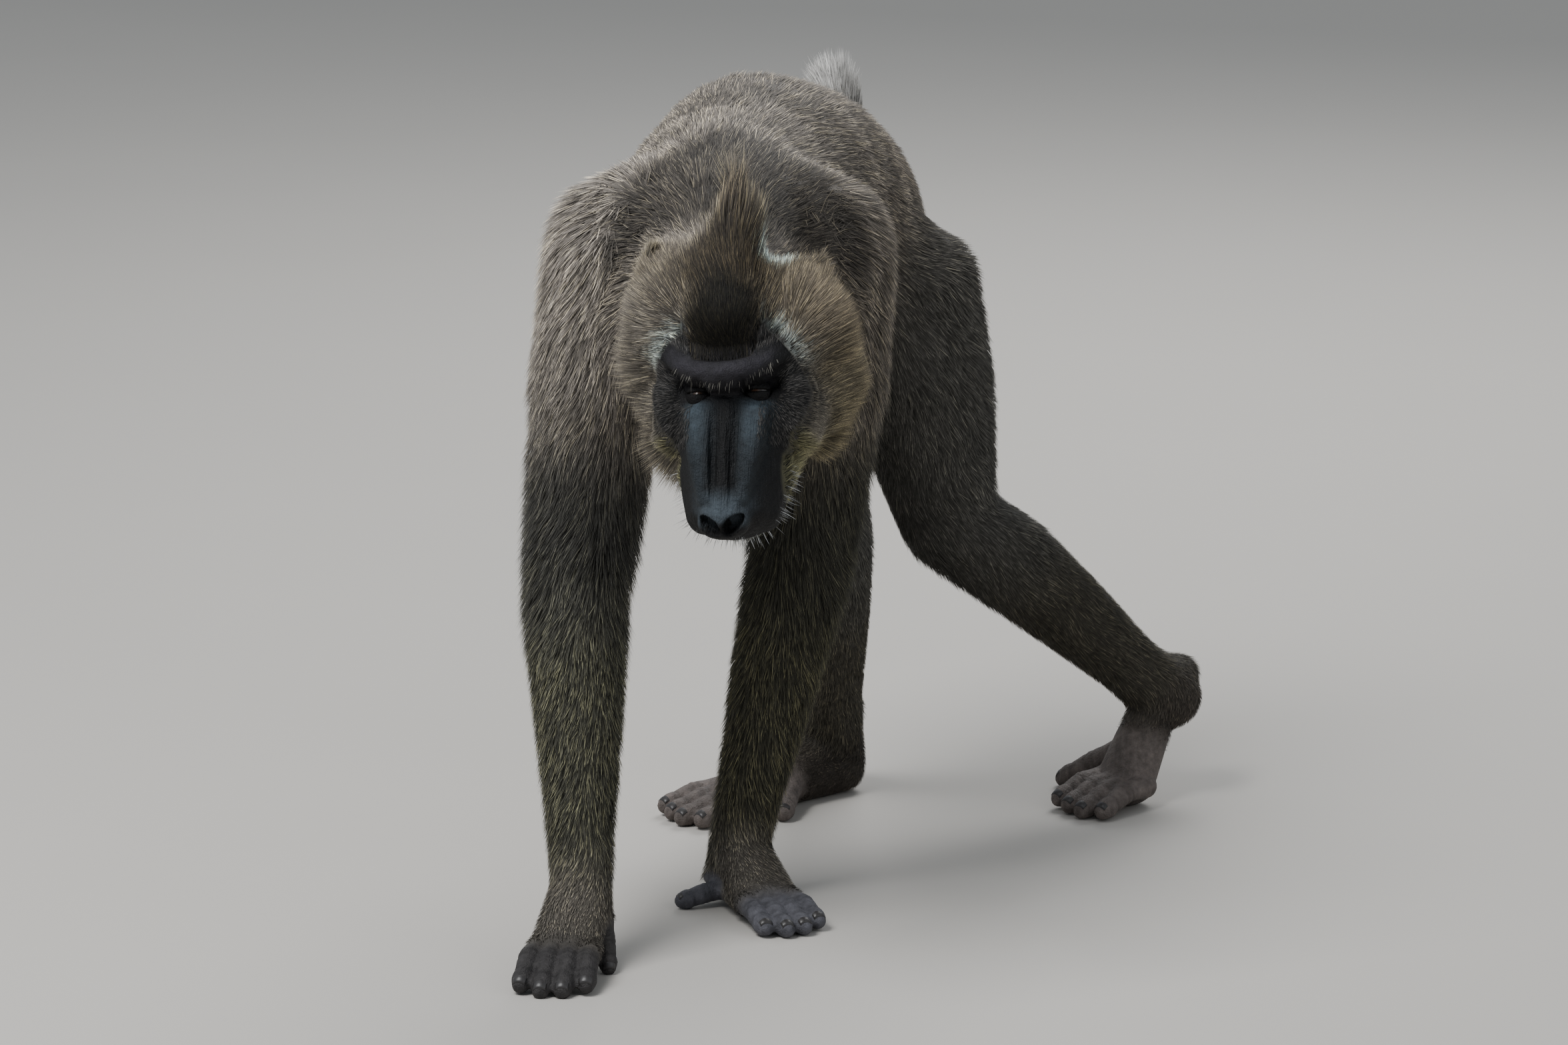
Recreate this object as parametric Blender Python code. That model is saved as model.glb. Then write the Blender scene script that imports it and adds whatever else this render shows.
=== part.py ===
"""A male drill monkey, life size, walking with its head low.

The part is modelled in metres with +Z up. The animal faces -Y and stands on the floor at z = 0, its weight on
two hands and two feet, and X points to its left. The flesh is shaped from blobs: each blob and the next are
joined into a hull, the hulls are fused into one skin, and the skin is parted into named pieces by thin gaps.
"""

import math
import random

import bmesh
import bpy
from mathutils import Matrix, Vector
from mathutils.bvhtree import BVHTree

# Driving dimensions, in metres.
GAP = 0.0003
HUMERUS = 0.212
FOREARM = 0.214
FEMUR = 0.212
SHANK = 0.216
FOOT_HEADING_RIGHT = math.radians(52.0)
FOOT_HEADING_LEFT = math.radians(45.0)
EYE_RADIUS = 0.0092
EYE_SPREAD = 0.0205
RUFF_FULLNESS = 0.021
RUFF_SPREAD = {"left": 0.041, "right": 0.050}
CREST_TIP = (0.066, -0.141)
CREST_CORE = (0.040, -0.104)
EAR_HEIGHT = 0.042
EAR_WIDTH = 0.030
EAR_SINK = 0.012
TAIL_LENGTH = 0.078

CREASE = math.radians(40.0)

# The middle of the standing animal's box on the floor, which becomes the origin.
BOX_MIDDLE = Vector((0.0634, 0.1361, 0.0))

# Attitude of the head: the muzzle's slope below level, its lean to the left, and the turn of the face round it.
MUZZLE_SLOPE = math.radians(58.0)
MUZZLE_LEAN = -0.045
FACE_TURN = math.radians(15.0)
SKULL_TO_MUZZLE = math.radians(32.0)
BROW = Vector((-0.044, -0.135, 0.4365))

# Sizes of the voxels that fuse the flesh, and the triangles that each skin keeps.
BODY_VOXEL, BODY_FACES = 0.0055, 2800
HEAD_VOXEL, HEAD_FACES = 0.0022, 2600
PAW_VOXEL, PAW_FACES = 0.0018, 560
REGION_VOXEL, REGION_FACES = 0.010, 200

COLOURS = {
    "olive_coat": ((0.115, 0.100, 0.078), 0.95),
    "dark_coat": ((0.060, 0.058, 0.054), 0.95),
    "pale_hair": ((0.55, 0.55, 0.54), 0.90),
    "black_skin": ((0.022, 0.024, 0.028), 0.50),
    "paw_skin": ((0.055, 0.062, 0.072), 0.55),
    "seat_skin": ((0.33, 0.16, 0.20), 0.55),
    "eye": ((0.075, 0.035, 0.012), 0.12),
}


# Tools for objects


def clear_scene():
    for obj in list(bpy.data.objects):
        bpy.data.objects.remove(obj, do_unlink=True)


def material(name):
    found = bpy.data.materials.get(name)
    if found:
        return found
    colour, roughness = COLOURS[name]
    made = bpy.data.materials.new(name)
    made.use_nodes = True
    shader = made.node_tree.nodes["Principled BSDF"]
    shader.inputs["Base Color"].default_value = (*colour, 1.0)
    shader.inputs["Roughness"].default_value = roughness
    shader.inputs["Metallic"].default_value = 0.0
    return made


def add_object(name, bm):
    """A new object from a bmesh, which is freed."""
    mesh = bpy.data.meshes.new(name)
    bm.to_mesh(mesh)
    bm.free()
    obj = bpy.data.objects.new(name, mesh)
    bpy.context.scene.collection.objects.link(obj)
    return obj


def remove(*objects):
    for obj in objects:
        bpy.data.objects.remove(obj, do_unlink=True)


def copy_of(obj, name):
    made = bpy.data.objects.new(name, obj.data.copy())
    bpy.context.scene.collection.objects.link(made)
    return made


def settle(obj):
    """Applies an object's modifiers."""
    graph = bpy.context.evaluated_depsgraph_get()
    mesh = bpy.data.meshes.new_from_object(obj.evaluated_get(graph))
    obj.modifiers.clear()
    obj.data = mesh
    return obj


def connected_groups(bm):
    """The vertices of a bmesh, in connected groups."""
    left, groups = set(bm.verts), []
    while left:
        todo = [left.pop()]
        group = set(todo)
        while todo:
            for edge in todo.pop().link_edges:
                for vert in edge.verts:
                    if vert in left:
                        left.discard(vert)
                        group.add(vert)
                        todo.append(vert)
        groups.append(group)
    return groups


def volume_of(verts):
    total = 0.0
    for face in {face for vert in verts for face in vert.link_faces}:
        corner = face.verts[0].co
        for second, third in zip(face.verts[1:], face.verts[2:]):
            total += corner.dot(second.co.cross(third.co)) / 6.0
    return total


def keep_largest(obj):
    """Keeps only the largest closed surface of an object, in triangles."""
    bm = bmesh.new()
    bm.from_mesh(obj.data)
    bmesh.ops.remove_doubles(bm, verts=bm.verts, dist=0.000002)
    groups = sorted(connected_groups(bm), key=lambda group: -abs(volume_of(group)))
    for group in groups[1:]:
        bmesh.ops.delete(bm, geom=list(group), context="VERTS")
    bmesh.ops.triangulate(bm, faces=bm.faces)
    bm.to_mesh(obj.data)
    bm.free()
    return obj


def combine(obj, others, operation):
    """Applies one Boolean with all the others, which are then removed."""
    group = bpy.data.collections.new("operands")
    bpy.context.scene.collection.children.link(group)
    for other in others:
        bpy.context.scene.collection.objects.unlink(other)
        group.objects.link(other)
    boolean = obj.modifiers.new("combine", "BOOLEAN")
    boolean.operation = operation
    boolean.solver = "EXACT"
    boolean.operand_type = "COLLECTION"
    boolean.collection = group
    bpy.context.view_layer.update()
    settle(obj)
    remove(*others)
    bpy.data.collections.remove(group)
    return keep_largest(obj)


def intersect(obj, other):
    """Keeps what obj shares with the other, which is then removed."""
    boolean = obj.modifiers.new("intersect", "BOOLEAN")
    boolean.operation = "INTERSECT"
    boolean.solver = "EXACT"
    boolean.object = other
    bpy.context.view_layer.update()
    settle(obj)
    remove(other)
    return keep_largest(obj)


def half_of(obj, name, point, normal):
    """The part of obj on the side that normal points to, half a gap clear of the plane."""
    bm = bmesh.new()
    bm.from_mesh(obj.data)
    ahead = Vector(normal).normalized()
    cut = bmesh.ops.bisect_plane(
        bm,
        geom=bm.verts[:] + bm.edges[:] + bm.faces[:],
        plane_co=Vector(point) + ahead * GAP / 2,
        plane_no=ahead,
        clear_inner=True,
    )
    rim = [item for item in cut["geom_cut"] if isinstance(item, bmesh.types.BMEdge)]
    bmesh.ops.holes_fill(bm, edges=rim, sides=0)
    bmesh.ops.triangulate(bm, faces=[face for face in bm.faces if len(face.verts) > 3])
    bmesh.ops.recalc_face_normals(bm, faces=bm.faces)
    return keep_largest(add_object(name, bm))


def part_at(obj, near_name, far_name, point, normal):
    """Parts obj at a plane and removes it. The far piece is on the side that normal points to."""
    near = half_of(obj, near_name, point, -Vector(normal))
    far = half_of(obj, far_name, point, normal)
    remove(obj)
    return near, far


def swollen(obj, by):
    """A copy of obj with its surface moved out by a length."""
    made = copy_of(obj, "swollen")
    swell = made.modifiers.new("swell", "DISPLACE")
    swell.strength = by
    swell.mid_level = 0.0
    bpy.context.view_layer.update()
    return settle(made)


def clear_of(obj, neighbour):
    """Trims obj where it would touch a neighbour, and leaves a gap."""
    return combine(obj, [swollen(neighbour, GAP)], "DIFFERENCE")


def shell_of(obj, name, envelope):
    """The part of obj inside an envelope, half a gap clear of it."""
    return intersect(copy_of(obj, name), swollen(envelope, -GAP / 2))


def cut_out(obj, envelope):
    """Takes an envelope out of obj, half a gap clear, and removes the envelope."""
    combine(obj, [swollen(envelope, GAP / 2)], "DIFFERENCE")
    remove(envelope)


# Tools for flesh


class Blob:
    """An ellipsoid: its centre, half sizes and axes."""

    def __init__(self, centre, sizes, axes=None):
        self.centre = Vector(centre)
        self.sizes = Vector((sizes,) * 3) if isinstance(sizes, float) else Vector(sizes)
        self.axes = axes or Matrix.Identity(3)

    def matrix(self):
        scale = Matrix.Diagonal(self.sizes).to_4x4()
        return Matrix.Translation(self.centre) @ self.axes.to_4x4() @ scale

    def grown(self, by):
        return Blob(self.centre, self.sizes + Vector((by, by, by)), self.axes)


def columns(first, second, third):
    return Matrix((first, second, third)).transposed()


def axes_along(direction, across=(1, 0, 0)):
    """Axes whose third column runs along direction and whose first is as near to across as it can be."""
    ahead = Vector(direction).normalized()
    side = Vector(across) - ahead * ahead.dot(Vector(across))
    side.normalize()
    return columns(side, ahead.cross(side), ahead)


def add_hull(bm, blobs, detail):
    """Adds the convex hull of some blobs to a bmesh."""
    hull = bmesh.new()
    for blob in blobs:
        bmesh.ops.create_icosphere(hull, subdivisions=detail, radius=1.0, matrix=blob.matrix())
    if len(blobs) > 1:
        made = bmesh.ops.convex_hull(hull, input=hull.verts)
        inside = [item for item in made["geom_interior"] if isinstance(item, bmesh.types.BMVert)]
        bmesh.ops.delete(hull, geom=inside, context="VERTS")
        loose = [vert for vert in hull.verts if not vert.link_faces]
        bmesh.ops.delete(hull, geom=loose, context="VERTS")
    bmesh.ops.recalc_face_normals(hull, faces=hull.faces)
    mesh = bpy.data.meshes.new("hull")
    hull.to_mesh(mesh)
    hull.free()
    bm.from_mesh(mesh)
    bpy.data.meshes.remove(mesh)


def shells(name, chains, detail=3):
    """An object that holds the hulls of several chains, not yet fused. A link is a blob or a few side by side."""
    bm = bmesh.new()
    for chain in chains:
        links = [link if isinstance(link, list) else [link] for link in chain]
        if len(links) == 1:
            add_hull(bm, links[0], detail)
        for first, second in zip(links, links[1:]):
            add_hull(bm, first + second, detail)
    return add_object(name, bm)


def fuse(obj, voxel, rounds):
    """Turns overlapping shells into one smooth skin."""
    remesh = obj.modifiers.new("fuse", "REMESH")
    remesh.mode = "VOXEL"
    remesh.voxel_size = voxel
    smooth = obj.modifiers.new("smooth", "SMOOTH")
    smooth.factor = 0.5
    smooth.iterations = rounds
    return keep_largest(settle(obj))


def thin_out(obj, faces):
    """Keeps about that many triangles."""
    reduce = obj.modifiers.new("thin", "DECIMATE")
    reduce.ratio = min(1.0, faces / len(obj.data.polygons))
    return keep_largest(settle(obj))


def region(blobs):
    """A closed envelope round some blobs."""
    return thin_out(fuse(shells("region", [blobs], 2), REGION_VOXEL, 2), REGION_FACES)


def push(obj, amount):
    """Moves each vertex by what amount returns for its place and normal."""
    normals = [vert.normal.copy() for vert in obj.data.vertices]
    for vert, normal in zip(obj.data.vertices, normals):
        vert.co += amount(vert.co, normal)


def reach(start, toward, length):
    """The point at that length from start, in the direction of toward."""
    return Vector(start) + (Vector(toward) - Vector(start)).normalized() * length


def along(start, end, share, shift=(0, 0, 0)):
    return Vector(start).lerp(Vector(end), share) + Vector(shift)


def bump(distance, width):
    """A smooth hump: 1 at no distance, falling to 0 past about two widths."""
    return math.exp(-((distance / width) ** 2))


# The joints of the standing animal


SIDES = {"left": 1, "right": -1}
CHEST_X = -0.046
SHOULDER_HALF_SPREAD = 0.076
SHOULDER = {
    side: Vector((CHEST_X + out * SHOULDER_HALF_SPREAD, 0.068, 0.455)) for side, out in SIDES.items()
}
ELBOW = {
    "right": reach(SHOULDER["right"], (-0.146, 0.030, 0.250), HUMERUS),
    "left": reach(SHOULDER["left"], (0.012, 0.118, 0.245), HUMERUS),
}
WRIST = {
    "right": reach(ELBOW["right"], (-0.141, -0.062, 0.056), FOREARM),
    "left": reach(ELBOW["left"], (-0.034, 0.098, 0.036), FOREARM),
}
HIP = {"left": Vector((0.060, 0.320, 0.420)), "right": Vector((-0.012, 0.372, 0.420))}
KNEE = {
    "left": reach(HIP["left"], (0.117, 0.360, 0.227), FEMUR),
    "right": reach(HIP["right"], (0.028, 0.300, 0.245), FEMUR),
}
ANKLE = {
    "left": reach(KNEE["left"], (0.281, 0.385, 0.084), SHANK),
    "right": reach(KNEE["right"], (0.036, 0.392, 0.062), SHANK),
}
FOOT_AHEAD = {
    side: Vector((-math.sin(heading), -math.cos(heading), 0))
    for side, heading in (("right", FOOT_HEADING_RIGHT), ("left", FOOT_HEADING_LEFT))
}
ANKLE_CUT = {side: (ANKLE[side] - KNEE[side]).normalized() + FOOT_AHEAD[side] * 0.6 for side in SIDES}
WRIST_CUT = {side: WRIST[side] - ELBOW[side] for side in SIDES}
TAIL_ROOT = Vector((0.052, 0.402, 0.480))
TAIL_WAY = Vector((-0.26, 0.02, 0.95)).normalized()
TAIL_TIP = TAIL_ROOT + TAIL_WAY * TAIL_LENGTH

# The trunk from chest to rump: centre, half width and half height.
TRUNK = (
    ((-0.046, -0.020, 0.462), 0.060, 0.066),
    ((-0.047, 0.020, 0.452), 0.076, 0.092),
    ((-0.047, 0.065, 0.450), 0.086, 0.104),
    ((-0.044, 0.120, 0.454), 0.092, 0.112),
    ((-0.038, 0.180, 0.460), 0.095, 0.108),
    ((-0.019, 0.240, 0.478), 0.095, 0.104),
    ((0.004, 0.295, 0.472), 0.090, 0.092),
    ((0.025, 0.342, 0.453), 0.081, 0.086),
    ((0.043, 0.378, 0.435), 0.069, 0.078),
    ((0.056, 0.402, 0.418), 0.050, 0.060),
)
TRUNK_REACH = 0.030


# Body


def trunk_chain():
    blobs = []
    for index, (centre, width, height) in enumerate(TRUNK):
        before = Vector(TRUNK[max(0, index - 1)][0])
        after = Vector(TRUNK[min(len(TRUNK) - 1, index + 1)][0])
        blobs.append(Blob(centre, (width, height, TRUNK_REACH), axes_along(after - before)))
    return blobs


def limb_chain(points, sizes, across):
    """Blobs along a limb. Each size is half the width across and half the depth."""
    blobs = []
    for index, (point, (width, depth)) in enumerate(zip(points, sizes)):
        before = Vector(points[max(0, index - 1)])
        after = Vector(points[min(len(points) - 1, index + 1)])
        axes = axes_along(after - before, across)
        blobs.append(Blob(point, (width, depth, min(width, depth)), axes))
    return blobs


def neck_chain():
    return [
        Blob((CHEST_X, -0.070, 0.452), (0.052, 0.040, 0.056)),
        Blob((CHEST_X, -0.030, 0.460), (0.056, 0.040, 0.062)),
        Blob((CHEST_X, 0.010, 0.472), (0.066, 0.040, 0.074)),
        Blob((CHEST_X, 0.060, 0.480), (0.074, 0.050, 0.074)),
    ]


def tail_chain():
    shares = (-0.35, 0.0, 0.45, 0.70)
    radii = (0.026, 0.018, 0.012, 0.008)
    return [Blob(along(TAIL_ROOT, TAIL_TIP, share), radius) for share, radius in zip(shares, radii)]


def arm_chains(side):
    """Shoulder, upper arm and forearm, down past the wrist."""
    out = SIDES[side]
    shoulder, elbow, wrist = SHOULDER[side], ELBOW[side], WRIST[side]
    blade = [
        Blob((CHEST_X + out * 0.040, 0.085, 0.496), (0.046, 0.062, 0.052)),
        Blob(shoulder + Vector((0, 0.002, 0.016)), (0.050, 0.066, 0.066)),
        Blob(along(shoulder, elbow, 0.30, (out * 0.002, -0.004, 0)), (0.050, 0.060, 0.060)),
    ]
    upper = limb_chain(
        [along(shoulder, elbow, share, (0, 0.005, 0)) for share in (0.30, 0.55, 0.80, 1.0)],
        [(0.050, 0.058), (0.047, 0.053), (0.043, 0.047), (0.040, 0.042)],
        (1, 0, 0),
    )
    fore = limb_chain(
        [along(elbow, wrist, share) for share in (0.0, 0.22, 0.5, 0.78, 1.0, 1.10)],
        [(0.040, 0.042), (0.038, 0.040), (0.033, 0.034), (0.027, 0.027), (0.0235, 0.021), (0.022, 0.018)],
        (1, 0, 0),
    )
    point = [Blob(along(elbow, shoulder, 0.06, (0, 0.024, 0)), (0.020, 0.020, 0.030))]
    return [blade, upper, fore, point]


def leg_frame(side):
    """The axis that the knee bends round, and the way to the back of the thigh."""
    hip, knee, ankle = HIP[side], KNEE[side], ANKLE[side]
    bend = (ankle - knee).cross(hip - knee).normalized()
    back = bend.cross(knee - hip).normalized()
    if back.dot(ankle - knee) < 0:
        back = -back
    return bend, back


def leg_chains(side):
    """Haunch, thigh and shank, down past the ankle."""
    hip, knee, ankle = HIP[side], KNEE[side], ANKLE[side]
    bend, back = leg_frame(side)
    haunch = [
        Blob(hip + Vector((0, 0, 0.004)), (0.056, 0.062, 0.066)),
        Blob(along(hip, knee, 0.35) + back * 0.012, (0.052, 0.060, 0.056)),
    ]
    thigh = limb_chain(
        [along(hip, knee, share) + back * shift for share, shift in ((0.1, 0.014), (0.45, 0.012), (0.78, 0.006))]
        + [knee],
        [(0.052, 0.068), (0.048, 0.061), (0.042, 0.050), (0.037, 0.039)],
        bend,
    )
    shank = limb_chain(
        [along(knee, ankle, share) + back * shift for share, shift in ((0.0, 0.0), (0.25, 0.006), (0.55, 0.004))]
        + [along(knee, ankle, 0.85), along(knee, ankle, 1.05)],
        [(0.037, 0.040), (0.036, 0.041), (0.031, 0.035), (0.025, 0.028), (0.022, 0.025)],
        bend,
    )
    return [haunch, thigh, shank]


def arm_region(side):
    """The envelope that parts an arm from the trunk."""
    out = SIDES[side]
    shoulder, elbow, wrist = SHOULDER[side], ELBOW[side], WRIST[side]
    blobs = [
        Blob(shoulder + Vector((out * 0.020, 0.004, 0.024)), (0.052, 0.084, 0.080)),
        Blob(shoulder + Vector((out * 0.012, 0.002, -0.056)), (0.060, 0.084, 0.076)),
        Blob(along(shoulder, elbow, 0.80, (out * 0.010, 0, 0)), (0.062, 0.072, 0.060)),
        Blob(elbow, 0.066),
        Blob(along(elbow, wrist, 0.6), 0.054),
        Blob(along(elbow, wrist, 1.3), 0.050),
    ]
    return region(blobs)


def leg_region(side):
    """The envelope that parts a leg from the trunk."""
    hip, knee, ankle = HIP[side], KNEE[side], ANKLE[side]
    out = (HIP[side] - HIP["left" if side == "right" else "right"]).normalized()
    blobs = [
        Blob(hip + out * 0.038 + Vector((0, 0, -0.010)), (0.070, 0.078, 0.082)),
        Blob(along(hip, knee, 0.40) + out * 0.026, (0.076, 0.082, 0.060)),
        Blob(along(hip, knee, 0.75) + out * 0.006, 0.070),
        Blob(knee, 0.060),
        Blob(along(knee, ankle, 0.5), 0.052),
        Blob(along(knee, ankle, 1.25), 0.050),
    ]
    return region(blobs)


NECK_CUT = (Vector((CHEST_X, -0.024, 0.460)), Vector((0.0, -1.0, 0.12)))
NECK_ROOT = (Vector((CHEST_X, 0.012, 0.468)), Vector((0.0, -1.0, -0.25)))
CHEST_END = (Vector((-0.036, 0.190, 0.460)), Vector((-0.30, -1.0, 0.0)))
BELLY_END = (Vector((0.022, 0.318, 0.470)), Vector((-0.52, -0.85, 0.0)))


def limb_nodes(limb, names, side, joints):
    """Parts a limb that is cut free of the trunk at its two lower joints."""
    top, middle, end, end_cut = joints
    fold = (middle - top).normalized() + (end - middle).normalized()
    lower = part_at(limb, f"{names[0]}_{side}", "lower", middle, fold)[1]
    remove(part_at(lower, f"{names[1]}_{side}", "spare", end, end_cut)[1])


def body_nodes():
    """The trunk, the limbs down to wrist and ankle, and the neck."""
    chains = [trunk_chain(), neck_chain()]
    for side in SIDES:
        chains += arm_chains(side) + leg_chains(side)
    whole = thin_out(fuse(shells("whole", chains), BODY_VOXEL, 8), BODY_FACES)
    for side in SIDES:
        envelope = arm_region(side)
        joints = (SHOULDER[side], ELBOW[side], WRIST[side], WRIST_CUT[side])
        limb_nodes(shell_of(whole, "arm", envelope), ("upper_arm", "forearm"), side, joints)
        cut_out(whole, envelope)
    for side in SIDES:
        envelope = leg_region(side)
        joints = (HIP[side], KNEE[side], ANKLE[side], ANKLE_CUT[side])
        limb_nodes(shell_of(whole, "leg", envelope), ("thigh", "shank"), side, joints)
        cut_out(whole, envelope)
    rest, front = part_at(whole, "rest", "front", *NECK_ROOT)
    remove(part_at(front, "neck", "spare", *NECK_CUT)[1])
    rest = part_at(rest, "rest", "chest", *CHEST_END)[0]
    part_at(rest, "rump", "belly", *BELLY_END)


# Head


M_AXIS = Vector((MUZZLE_LEAN, -math.cos(MUZZLE_SLOPE), -math.sin(MUZZLE_SLOPE))).normalized()
LEVEL_SIDE = (Vector((1, 0, 0)) - M_AXIS * M_AXIS.x).normalized()
UPRIGHT_FRONT = M_AXIS.cross(LEVEL_SIDE)
N_AXIS = UPRIGHT_FRONT * math.cos(FACE_TURN) - LEVEL_SIDE * math.sin(FACE_TURN)
S_AXIS = LEVEL_SIDE * math.cos(FACE_TURN) + UPRIGHT_FRONT * math.sin(FACE_TURN)
SKULL_AHEAD = M_AXIS * math.cos(SKULL_TO_MUZZLE) + N_AXIS * math.sin(SKULL_TO_MUZZLE)
SKULL_UP = N_AXIS * math.cos(SKULL_TO_MUZZLE) - M_AXIS * math.sin(SKULL_TO_MUZZLE)
MUZZLE_AXES = columns(S_AXIS, N_AXIS, M_AXIS)
SKULL_AXES = columns(S_AXIS, SKULL_UP, SKULL_AHEAD)


def on_muzzle(left, out, down):
    """A point measured from the brow: to the animal's left, out of the face, and down towards the nose."""
    return BROW + S_AXIS * left + N_AXIS * out + M_AXIS * down


def on_skull(left, up, ahead):
    """A point measured from the brow along the skull's own axes."""
    return BROW + S_AXIS * left + SKULL_UP * up + SKULL_AHEAD * ahead


def muzzle_blob(left, out, down, *sizes):
    return Blob(on_muzzle(left, out, down), sizes, MUZZLE_AXES)


def skull_blob(left, up, ahead, *sizes):
    return Blob(on_skull(left, up, ahead), sizes, SKULL_AXES)


def eye_centre(side):
    return on_muzzle(SIDES[side] * EYE_SPREAD, -0.0290, 0.0062)


def cranium_chains():
    """Vault and nape."""
    return [
        neck_chain(),
        trunk_chain()[:2],
        [
            skull_blob(0, -0.036, -0.104, 0.054, 0.056, 0.030),
            skull_blob(0, -0.022, -0.064, 0.060, 0.054, 0.036),
            skull_blob(0, -0.016, -0.028, 0.046, 0.032, 0.022),
        ],
    ]


BROW_ARC = (
    (-0.0400, -0.0300, -0.0190),
    (-0.0280, -0.0195, -0.0100),
    (-0.0145, -0.0130, -0.0035),
    (0.0, -0.0105, -0.0015),
    (0.0145, -0.0130, -0.0035),
    (0.0280, -0.0195, -0.0100),
    (0.0400, -0.0300, -0.0190),
)


def muzzle_chains():
    """Snout, nose, brow ridge and lower jaw."""
    return [
        [
            muzzle_blob(0, -0.048, 0.006, 0.047, 0.030, 0.020),
            muzzle_blob(0, -0.049, 0.048, 0.037, 0.029, 0.018),
            muzzle_blob(0, -0.047, 0.086, 0.030, 0.026, 0.016),
        ],
        [
            muzzle_blob(0, -0.077, 0.079, 0.018, 0.013, 0.013),
            muzzle_blob(0, -0.078, 0.052, 0.027, 0.019, 0.020),
            muzzle_blob(0, -0.084, 0.006, 0.044, 0.028, 0.026),
            skull_blob(0, -0.066, -0.070, 0.052, 0.036, 0.030),
        ],
        [
            muzzle_blob(*NOSE, 0.0185, 0.0125, 0.0115),
            muzzle_blob(0, -0.0345, 0.0780, 0.0200, 0.0140, 0.0120),
        ],
        [
            muzzle_blob(0, -0.0270, 0.016, 0.0050, 0.0105, 0.010),
            muzzle_blob(0, -0.0260, 0.056, 0.0050, 0.0105, 0.010),
            muzzle_blob(0, -0.0275, 0.092, 0.0085, 0.0095, 0.010),
        ],
        [
            muzzle_blob(left, out, down, 0.0105, 0.0130, 0.0122)
            for left, out, down in BROW_ARC
        ],
    ]


def cheek_chains(out):
    """The nasal ridge, upper lip and cheekbone of one side."""
    return [
        [
            [muzzle_blob(out * left, -0.0262, 0.0230, 0.0050, 0.0085, 0.0070) for left in (0.0145, 0.0262)],
            [muzzle_blob(out * left, -0.0242, 0.0520, 0.0050, 0.0085, 0.0080) for left in (0.0130, 0.0215)],
            [muzzle_blob(out * left, -0.0270, 0.0820, 0.0050, 0.0080, 0.0080) for left in (0.0105, 0.0140)],
        ],
        [
            muzzle_blob(out * 0.0195, -0.052, 0.085, 0.0135, 0.015, 0.012),
            muzzle_blob(out * 0.0270, -0.053, 0.056, 0.0125, 0.020, 0.014),
        ],
        [
            muzzle_blob(out * 0.043, -0.040, 0.002, 0.015, 0.016, 0.016),
            muzzle_blob(out * 0.043, -0.050, 0.024, 0.015, 0.018, 0.016),
            skull_blob(out * 0.044, -0.058, -0.058, 0.026, 0.030, 0.030),
        ],
        [
            muzzle_blob(out * 0.038, -0.036, -0.010, 0.014, 0.016, 0.016),
            skull_blob(out * 0.044, -0.018, -0.062, 0.026, 0.040, 0.030),
        ],
    ]


def ruff_chain(side, fullness):
    """The mane round one side of the face, from the temple to the throat. Its core has no fullness."""
    out, spread = SIDES[side], RUFF_SPREAD[side]
    return [
        skull_blob(out * (spread - 0.006), -0.006, -0.078, 0.024, 0.028, 0.026).grown(fullness),
        skull_blob(out * spread, -0.042, -0.068, 0.026, 0.036, 0.030).grown(fullness),
        skull_blob(out * (spread - 0.009), -0.078, -0.050, 0.022, 0.026, 0.024).grown(fullness),
    ]


def crest_chain():
    """The crest's core, up to a low tip under its locks."""
    return [
        skull_blob(0, 0.004, -0.042, 0.032, 0.026, 0.028),
        skull_blob(0, 0.028, -0.084, 0.022, 0.020, 0.026),
        skull_blob(0, *CREST_CORE, 0.010, 0.010, 0.012),
    ]


def head_chains():
    chains = cranium_chains() + muzzle_chains() + [crest_chain()]
    for side, out in SIDES.items():
        chains += cheek_chains(out) + [ruff_chain(side, 0.0)]
    return chains


MOUTH_OUT = -0.0625
MOUTH_CORNER = 0.036
NOSE = (0, -0.0305, 0.0985)
NOSTRIL_SPREAD = 0.0090


def face_relief(point, normal):
    """Orbits and the line of the mouth."""
    offset = point - BROW
    out, down = offset.dot(N_AXIS), offset.dot(M_AXIS)
    moved = Vector()
    for sign in SIDES.values():
        hollow = on_muzzle(sign * 0.023, -0.020, 0.010)
        moved -= N_AXIS * 0.0045 * bump((point - hollow).length, 0.010)
    if down > MOUTH_CORNER:
        moved -= normal * 0.0022 * bump(out - MOUTH_OUT, 0.0022)
    return moved


def lid_shells():
    """A bulge round each eye that its lids are cut from."""
    return [[Blob(eye_centre(side), EYE_RADIUS + 0.0013)] for side in SIDES]


def lid_opening(side):
    """The almond that opens the lids."""
    bm = bmesh.new()
    almond = Blob(eye_centre(side) + N_AXIS * 0.0110, (0.0084, 0.0090, 0.0038), MUZZLE_AXES)
    add_hull(bm, [almond], 2)
    return add_object("opening", bm)


RUFF_CENTRE = on_skull(0, -0.030, -0.062)

# Rows of the ruff: the angles from straight ahead where its locks are rooted and where they end, how far they
# stand out at the tip, and how many a side has.
RUFF_ROWS = (
    (math.radians(45.0), math.radians(87.0), 0.000, 7),
    (math.radians(66.0), math.radians(110.0), 0.001, 7),
    (math.radians(88.0), math.radians(133.0), 0.003, 7),
)
RUFF_ENDS = (math.radians(16.0), math.radians(160.0))

# Rings of the crest: the shares of its height where its locks are rooted and end, the distance of the tips from
# its middle line, and the angles round it.
CREST_RINGS = (
    (0.02, 0.50, 0.026, (-95, -48, 0, 48, 95)),
    (0.22, 0.76, 0.019, (-115, -70, -24, 24, 70, 115)),
    (0.42, 1.04, 0.006, (-75, 0, 75, 180)),
)

# A lock's stations along its length, with its share of the full width there.
LOCK_STATIONS = ((0.0, 0.80), (0.30, 1.0), (0.68, 0.68))
LOCK_DEPTH = 0.0016
LOCK_SINK = 0.0070


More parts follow.
